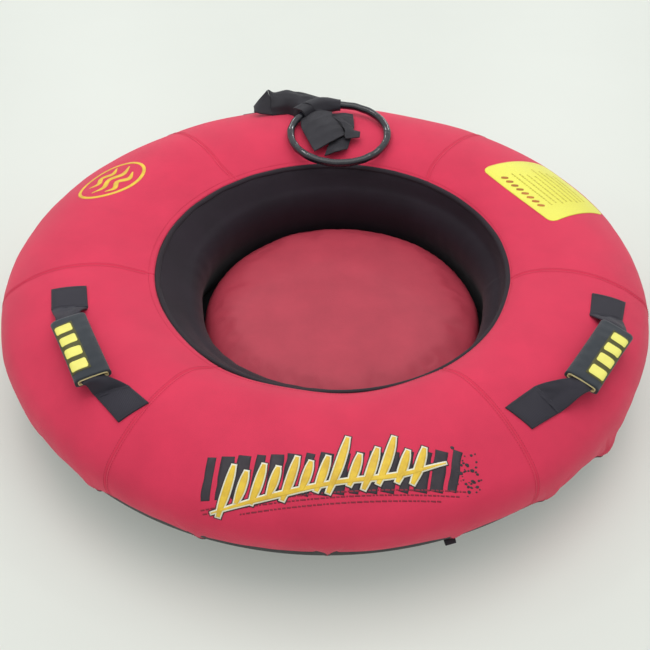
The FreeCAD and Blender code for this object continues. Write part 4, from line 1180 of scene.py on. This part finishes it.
# The strap's turns round the ring's bar, and its way over the bar under them: places across each one,
# outward and up from the bar's middle, in mm
TURN_UNDER = ((-6.0, -11.0), (-10.4, -2.0), (-2.0, 10.0), (10.0, 9.6), (19.0, 6.0))
TURN_OVER = ((-6.5, -11.8), (-11.8, -2.0), (-2.0, 11.4), (11.0, 10.6), (20.0, 5.0))
TURN_END = ((-3.9, -7.8), (-8.4, -1.0), (-1.0, 8.5), (6.2, 6.1), (8.5, 0.5))
NECK_FIRST = ((-14.0, 1.0), (-9.3, 4.5), (-3.0, 9.0), (5.0, 9.0), (16.0, 6.0))
NECK_LAST = ((-15.0, -2.5), (-9.6, 3.0), (-3.5, 8.8), (5.0, 9.0), (15.0, 5.5))


def turn_stations(first, last, start, end, slant):
    """Rows of points round the ring's bar from angle start to angle end."""
    rows = []
    for share in np.linspace(0, 1, 9):
        mix = smooth(0.35, 1.0, share)
        across = np.array(first) * (1 - mix) + np.array(last) * mix
        lag = slant * np.linspace(0, 1, len(first)) * (1 - share)
        angle = np.radians(start + (end - start) * share + lag)
        rows.append(polar(RING_CIRCLE + across[:, 0] / 1000, angle, across[:, 1] / 1000))
    return moved(np.array(rows), ring_frame())


def make_wrap():
    """The strap's webbing wound round the ring's bar: an inner sleeve and two turns over it."""
    turn = np.radians(np.linspace(WRAP_START, WRAP_END, 60))
    angle = circle_steps(40)
    points = polar(RING_CIRCLE + WRAP_RADIUS * np.cos(angle), turn[:, None], WRAP_RADIUS * np.sin(angle))
    cloth = pairs(turn[:, None] * RING_CIRCLE, angle[None, :] * 0.008)
    piece = surface("tow_wrap_inside", moved(points, ring_frame()), cloth, close_v=True)
    thicken(piece, 0.0012)
    finished(piece, "strap", "tow_loop", ["tow_loop"])
    for name, stations, seed in (
            ("tow_wrap_under", turn_stations(TURN_UNDER, TURN_UNDER, 142, 118, 0), 93),
            ("tow_wrap_over", turn_stations(TURN_OVER, TURN_END, 121, 88, 11), 95)):
        piece = settle(ribbon(name, stations, 80, across=36, thickness=0.0019, crumple=0.0008, seed=seed,
                              stretch=3.0))
        finished(piece, "strap", "tow_loop")


def millimetres(stations):
    return np.array(stations, float) / 1000


# Stations of the tow strap's pieces in millimetres, each a row of points from one edge to the other.
STRAP_RISE = (
    ((-78, 481, 145), (-110, 475, 146), (-142, 466, 145)),
    ((-73, 465, 161), (-103, 462, 162), (-131, 456, 158)),
    ((-68, 450, 181), (-96, 449, 182), (-119, 442, 176)),
    ((-64, 441, 194), (-91, 441, 196), (-111, 434, 190)),
    ((-62, 433, 204), (-87, 434, 208), (-105, 429, 207)),
)
STRAP_FACET = (
    ((-128, 391, 200), (-128.5, 401, 200), (-129, 412, 198)),
    ((-117, 393, 195), (-116, 408, 204), (-117, 422, 210)),
    ((-96, 396, 190.5), (-99, 415, 206), (-105.5, 432, 220)),
)
STRAP_BAND = (
    ((-97, 396, 189.5), (-98, 403, 199), (-99, 415, 209), (-102, 425, 214.5), (-105, 433, 219)),
    ((-86, 399, 189.5), (-86, 405, 201), (-85, 415, 209), (-89, 427, 211), (-94, 437, 209.8)),
    ((-70, 402, 189.5), (-70, 406, 203), (-70, 414, 212), (-71, 426, 216), (-72, 437, 216.5)),
    ((-60, 396, 190), (-58, 400, 204), (-57, 410, 213), (-57, 424, 216), (-58, 436, 214.5)),
    ((-52, 386, 192), (-49, 391, 204), (-46, 399, 213), (-45, 415, 215.5), (-44, 434, 212.8)),
    ((-36, 394, 198), (-35, 397, 206), (-33, 405, 212), (-32, 419, 213.5), (-31, 431, 211)),
    ((-19, 404, 199), (-18, 407, 206), (-17, 412, 210.5), (-16, 421, 210.5), (-15, 429, 208)),
    ((-3, 410, 200), (-2, 412, 205.5), (-1, 416, 208.5), (0, 421, 208), (1, 426, 205.5)),
    ((12, 412, 201), (12, 414, 204.5), (12, 416, 206.5), (13, 419, 206), (13, 421, 203.5)),
)
TAIL_FLAP = (
    ((-36, 384, 200), (-14, 385, 208), (8, 382, 205)),
    ((-45, 358, 203), (-17, 368, 212.5), (10, 372, 210)),
    ((-43, 331, 204), (-16, 346, 213), (10, 359, 211)),
    ((-36, 312, 202), (-9, 328, 211.5), (20, 339, 210.5)),
    ((-28, 292, 199), (-2, 309, 207.5), (28, 323, 208.5)),
    ((-20, 272, 195.5), (6, 291, 202), (33, 311, 205)),
)
TAIL_UNDER = (
    ((8, 384, 200), (28, 383, 203), (46, 381, 201)),
    ((12, 366, 203), (31, 368, 206), (47, 370, 204)),
    ((13, 342, 201), (32, 341, 204), (48, 339, 202)),
    ((9, 318, 197), (28, 318, 200.5), (45, 320, 199)),
    ((4, 293, 194.5), (24, 297, 198), (41, 305, 197)),
    ((-3, 268, 191), (18, 274, 194), (36, 284, 193)),
)
TAIL_FOLD = (
    ((8, 359, 211.5), (22, 353, 212.5), (35, 347, 207)),
    ((24, 338, 212.5), (34, 337, 212.5), (44, 333, 207)),
    ((32, 317, 210), (40, 320, 210.5), (47, 323, 206)),
    ((31, 304, 206.5), (44, 312, 208), (58, 320, 205)),
    ((33, 299, 204.5), (45, 301, 205), (57, 306, 203)),
)


# The sewn strap: height over the cover, degrees to each side of its middle, and to its rows of stitches
ANCHOR_LIFT, ANCHOR_SPAN, ANCHOR_ROW = 0.0026, 4.4, 0.86 * 4.4


def strap_piece(name, stations, body="tow_strap", replaces=(), count=90, crumple=0.0012, seed=0,
                across=29, crisp=False, stretch=1.0):
    stations = millimetres(stations)
    piece = ribbon(name, stations, count, across=across, thickness=0.0020, crumple=crumple, seed=seed,
                   crisp=crisp, stretch=stretch)
    settle(piece)
    finished(piece, "strap", body, replaces)
    return piece


def make_strap():
    low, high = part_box("tow_anchor")
    middle = math.degrees(math.atan2((low.y + high.y) / 2 - 0.010, (low.x + high.x) / 2))
    top, foot = distance_to(0.4735) + 0.010, HEM + 0.001
    az = np.linspace(middle - ANCHOR_SPAN, middle + ANCHOR_SPAN, 30)
    s = np.linspace(top, foot, 60)
    points = cover_points(az[None, :], s[:, None], ANCHOR_LIFT)
    cloth = pairs(s[:, None], np.radians(az - middle)[None, :] * ANCHOR_WEAVE)
    piece = thicken(surface("tow_anchor_webbing", points, cloth), 0.0024)
    finished(piece, "strap", replaces=["tow_anchor"])
    rows = []
    for side in (-ANCHOR_ROW, ANCHOR_ROW):
        line = np.linspace(top + 0.01, foot - 0.006, 80)
        rows.append(cover_row("row", middle + side + 0 * line, line, ANCHOR_LIFT))
    for distance in (top + 0.012, foot - 0.012, (top + foot) / 2):
        line = np.linspace(middle - ANCHOR_ROW, middle + ANCHOR_ROW, 40)
        rows.append(cover_row("row", line, distance + 0 * line, ANCHOR_LIFT))
    finished(joined("tow_anchor_stitches", rows), "black_thread")
    rise = strap_piece("tow_strap_rise", STRAP_RISE, None, seed=101)
    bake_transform(rise)
    strap_piece("tow_strap_facet", STRAP_FACET, seed=102, crumple=0.0003, crisp=True)
    strap_piece("tow_strap_band", STRAP_BAND, replaces=["tow_strap"], count=150, across=45, seed=103,
                crumple=0.0010, stretch=2.2)
    strap_piece("tow_tail_flap", TAIL_FLAP, replaces=["tow_tail"], seed=105, crumple=0.0007, crisp=True)
    strap_piece("tow_tail_under", TAIL_UNDER, seed=107, crumple=0.0009, crisp=True)
    strap_piece("tow_tail_fold", TAIL_FOLD, seed=109, across=15, crumple=0.0003, crisp=True)
    # the strap's way from its band over the bar to its loose end, under the turns
    stations = turn_stations(NECK_FIRST, NECK_LAST, 123, 111, 0)
    piece = settle(ribbon("tow_tail_neck", stations, 40, across=30, thickness=0.0008))
    finished(piece, "strap", "tow_strap")


def make_hem_tab():
    """The small black loop sewn in under the hem."""
    low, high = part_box("hem_tab")
    azimuth = math.atan2((low.y + high.y) / 2, (low.x + high.x) / 2)
    outward_way = np.array([math.cos(azimuth), math.sin(azimuth), 0.0])
    side = np.array([-math.sin(azimuth), math.cos(azimuth), 0.0]) * 0.0075
    start = outward_way * 0.4805
    stations = []
    for out, level in ((-0.003, 0.0500), (0.003, 0.0478), (0.0062, 0.0440), (0.0045, 0.0425),
                       (-0.002, 0.0460)):
        middle = start + outward_way * out + np.array([0, 0, level])
        stations.append((middle - side, middle, middle + side))
    stations = draw_in(np.array(stations))
    piece = settle(ribbon("hem_tab_loop", stations, 24, across=9, thickness=0.0012))
    finished(piece, "binding", replaces=["hem_tab"])


# ---------------------------------------------------------------- zip and valve

# The skirt's slope: radius and height of its top, its run inward and its fall, and its bulge's radius
SKIRT_RADIUS, SKIRT_HEIGHT, SKIRT_RUN, SKIRT_FALL, SKIRT_ARC = 0.475, 0.0476, 0.054, 0.0442, 0.233


def skirt_frame(azimuth, radius, lift=0.0):
    """A flat frame on the skirt: +z along its outward and downward normal, +y down its slope."""
    share = (SKIRT_RADIUS - radius) / SKIRT_RUN
    bulge = (SKIRT_RUN ** 2 + SKIRT_FALL ** 2) / (2 * SKIRT_ARC) * share * (1 - share)
    slope = math.atan2(SKIRT_FALL, SKIRT_RUN)
    return (rotation(azimuth - 90, "Z") @ Matrix.Translation((0, radius, SKIRT_HEIGHT - share * SKIRT_FALL))
            @ Matrix.Rotation(slope + math.pi, 4, "X") @ Matrix.Translation((0, 0, bulge + lift)))


def block(name, size, bevel, matrix, segments=2):
    """A box with rounded edges, set in a frame with its foot at z = 0."""
    built = bmesh.new()
    bmesh.ops.create_cube(built, size=1.0)
    bmesh.ops.scale(built, vec=size, verts=built.verts)
    bmesh.ops.translate(built, vec=(0, 0, size[2] / 2), verts=built.verts)
    bmesh.ops.bevel(built, geom=built.edges[:], offset=bevel, segments=segments, affect="EDGES",
                    profile=0.6)
    bmesh.ops.transform(built, matrix=matrix, verts=built.verts)
    mesh = bpy.data.meshes.new(name)
    built.to_mesh(mesh)
    built.free()
    smooth_shaded(mesh)
    return link(bpy.data.objects.new(name, mesh))


def make_zip():
    """Two tapes with their teeth along the skirt, a slider and its pull."""
    start, sweep, middle, lift = 15.0, 50.0, 0.451, 0.0016
    inner, outer = 0.0012, 0.0125          # edges of a tape, from the row of teeth
    az = np.linspace(start, start + sweep, 200)
    tapes = []
    for side in (-1, 1):
        offset = np.linspace(side * inner, side * outer, 8)
        rows = []
        for value in az:
            matrix = skirt_frame(value, middle, lift)
            rows.append(moved(np.stack([0 * offset, offset, 0 * offset], axis=-1), matrix))
        points = np.array(rows)
        cloth = pairs(np.radians(az - start)[:, None] * middle, offset[None, :])
        tapes.append(thicken(surface("tape", points, cloth), 0.0009, offset=0.0))
    piece = joined("zip_tapes", tapes)
    finished(piece, "binding", replaces=["zip_tape"])
    count = 132
    teeth = []
    for i in range(count):
        side = 1 if i % 2 else -1
        place = skirt_frame(start + sweep * (i + 0.5) / count, middle, lift)
        teeth.append(block("tooth", (0.0019, 0.0044, 0.0018), 0.0004,
                           place @ Matrix.Translation((0, side * 0.0011, -0.0001)), segments=1))
    finished(joined("zip_teeth", teeth), "plastic")
    place = skirt_frame(17.5, middle, 0.0022)
    slider = [block("part", size, bevel, place @ Matrix.Translation(foot)) for size, bevel, foot in (
        ((0.016, 0.012, 0.0022), 0.0009, (0, 0, 0.0004)),
        ((0.013, 0.0085, 0.0018), 0.0008, (0.0004, 0, 0.0024)),
        ((0.009, 0.0028, 0.0016), 0.0007, (0.002, 0, 0.0036)))]
    piece = joined("zip_slider_body", slider)
    finished(piece, "metal", "zip_slider", ["zip_slider"])
    make_pull(place)


def make_pull(place):
    """The zip's pull: a flat plate with an eye at its end."""
    start, length, thick = 0.009, 0.034, 0.0022
    count = 48
    turn = circle_steps(count)
    outer = np.stack([start + length / 2 + length / 2 * np.sign(np.cos(turn)) * np.abs(np.cos(turn)) ** 0.35,
                      0.0046 * np.sign(np.sin(turn)) * np.abs(np.sin(turn)) ** 0.5], axis=-1)
    outer[:, 1] *= 1 - 0.2 * (outer[:, 0] - start) / length
    hole = np.stack([start + length - 0.009 + 0.0052 * np.cos(turn), 0.0019 * np.sin(turn)], axis=-1)
    rings = []
    for line, level in ((hole, 0.0), (outer * [1, 0.94], 0.0), (outer, 0.0003), (outer, thick - 0.0003),
                        (outer * [1, 0.94], thick), (hole, thick)):
        rings.append(np.column_stack([line, np.full(count, 0.0013 + level)]))
    piece = surface("zip_pull_plate", moved(np.array(rings), place), close_u=True, close_v=True)
    facing_out(piece)
    finished(piece, "metal", "zip_pull", ["zip_pull"])


def turned_part(name, profile, matrix, ridges=0, depth=0.0, count=96):
    """A closed turned piece of the valve, with ridges round its side."""
    points = lathe(profile, count)
    if ridges:
        turn = circle_steps(count)
        radius = np.hypot(points[..., 0], points[..., 1])
        push = depth * np.cos(ridges * turn)[None, :] * smooth(0.9, 1.0, radius / radius.max())
        points[..., :2] *= (1 + push / np.maximum(radius, 1e-4))[..., None]
    return facing_out(surface(name, moved(points, matrix), close_u=True, close_v=True))


def make_valve():
    """The valve's visible pieces: a ribbed cap and its tether ring; the rest are the plain mouldings."""
    place = skirt_frame(140.0, 0.450)
    cap = [(0.0005, 0.0048), (0.0150, 0.0048), (0.0154, 0.0056), (0.0154, 0.0100), (0.0142, 0.0112),
           (0.0105, 0.0113), (0.0095, 0.0104), (0.0005, 0.0104)]
    piece = turned_part("valve_cap_ribbed", cap, place, ridges=24, depth=0.0005)
    finished(piece, "plastic", "valve_cap", ["valve_cap"])
    ring = [(0.0126, 0.0008), (0.0152, 0.0008), (0.0156, 0.0019), (0.0152, 0.0031), (0.0128, 0.0031)]
    piece = turned_part("valve_tether_ring", ring, place)
    finished(piece, "soft", replaces=["valve_tether"])
    for node, key in (("valve_flange", "soft"), ("valve_body", "plastic"), ("valve_flap", "soft")):
        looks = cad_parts[node].data.materials
        looks.clear()
        looks.append(MATERIALS[key])


# ---------------------------------------------------------------- camera, floor and light

def make_camera():
    data = bpy.data.cameras.new("camera")
    data.lens, data.sensor_width = CAMERA_LENS, 36.0
    camera = link(bpy.data.objects.new("camera", data))
    camera.matrix_world = (Matrix.Translation(CAMERA_PLACE) @ rotation(90 - CAMERA_PITCH, "X")
                           @ rotation(CAMERA_ROLL, "Z"))
    bpy.context.scene.camera = camera


def make_stage():
    mesh = bpy.data.meshes.new("floor")
    mesh.from_pydata([(-30, -30, 0), (30, -30, 0), (30, 30, 0), (-30, 30, 0)], [], [(0, 1, 2, 3)])
    floor = link(bpy.data.objects.new("floor", mesh))
    floor.location.z = -0.0005
    pale = (0.56, 0.58, 0.535)
    material, shader, add, put = shade("floor", pale, 0.45)
    shader.inputs["Emission Color"].default_value = (*pale, 1)
    shader.inputs["Emission Strength"].default_value = 0.38
    put("Base Color", mottled(add, add("TexCoord").outputs["Object"], pale, 0.6, 0.02))
    floor.data.materials.append(material)


def area_light(name, place, target, size, power, colour=(1, 1, 1)):
    data = bpy.data.lights.new(name, "AREA")
    data.shape, data.size, data.size_y = "RECTANGLE", size[0], size[1]
    data.energy, data.color = power, colour
    light = link(bpy.data.objects.new(name, data))
    light.location = place
    light.rotation_mode = "QUATERNION"
    light.rotation_quaternion = (Vector(target) - Vector(place)).to_track_quat("-Z", "Y")


def make_light():
    """A pale room, brighter overhead, with a wide ceiling light."""
    scene = bpy.context.scene
    world = bpy.data.worlds.new("world")
    scene.world = world
    world.use_nodes = True
    tree = world.node_tree
    sky = tree.nodes["Background"]
    sky.inputs["Color"].default_value = (0.95, 0.98, 1.0, 1)
    way = tree.nodes.new("ShaderNodeTexCoord")
    split = tree.nodes.new("ShaderNodeSeparateXYZ")
    level = tree.nodes.new("ShaderNodeMapRange")
    level.inputs["From Min"].default_value, level.inputs["From Max"].default_value = -0.1, 0.9
    level.inputs["To Min"].default_value, level.inputs["To Max"].default_value = 0.44, 0.77
    tree.links.new(way.outputs["Generated"], split.inputs[0])
    tree.links.new(split.outputs["Z"], level.inputs["Value"])
    tree.links.new(level.outputs["Result"], sky.inputs["Strength"])
    area_light("ceiling", (-0.1, 0.2, 2.7), (-0.1, 0.2, 0), (3.2, 2.6), 26, (1.0, 0.99, 0.96))
    for side in (-1, 1):
        area_light("lamp", (1.1 * side, 1.1, 2.4), (0, 0, 0.1), (1.2, 0.08), 3.5)
        area_light("low lamp", (0.9 * side, 2.6, 1.35), (0, 0.3, 0.2), (0.5, 0.16), 4.0)
    scene.view_settings.view_transform = "Standard"
    scene.view_settings.look = "None"


# ---------------------------------------------------------------- the whole scene

make_camera()
make_stage()
make_light()
for make in (make_cover, make_bindings, make_skirt, make_base, make_wall, make_inner_tube, make_seat,
             make_front_print, make_side_print, make_patch):
    make()
for handle in HANDLES:
    make_handle(*handle)
for make in (make_ring, make_wrap, make_strap, make_hem_tab, make_zip, make_valve):
    make()
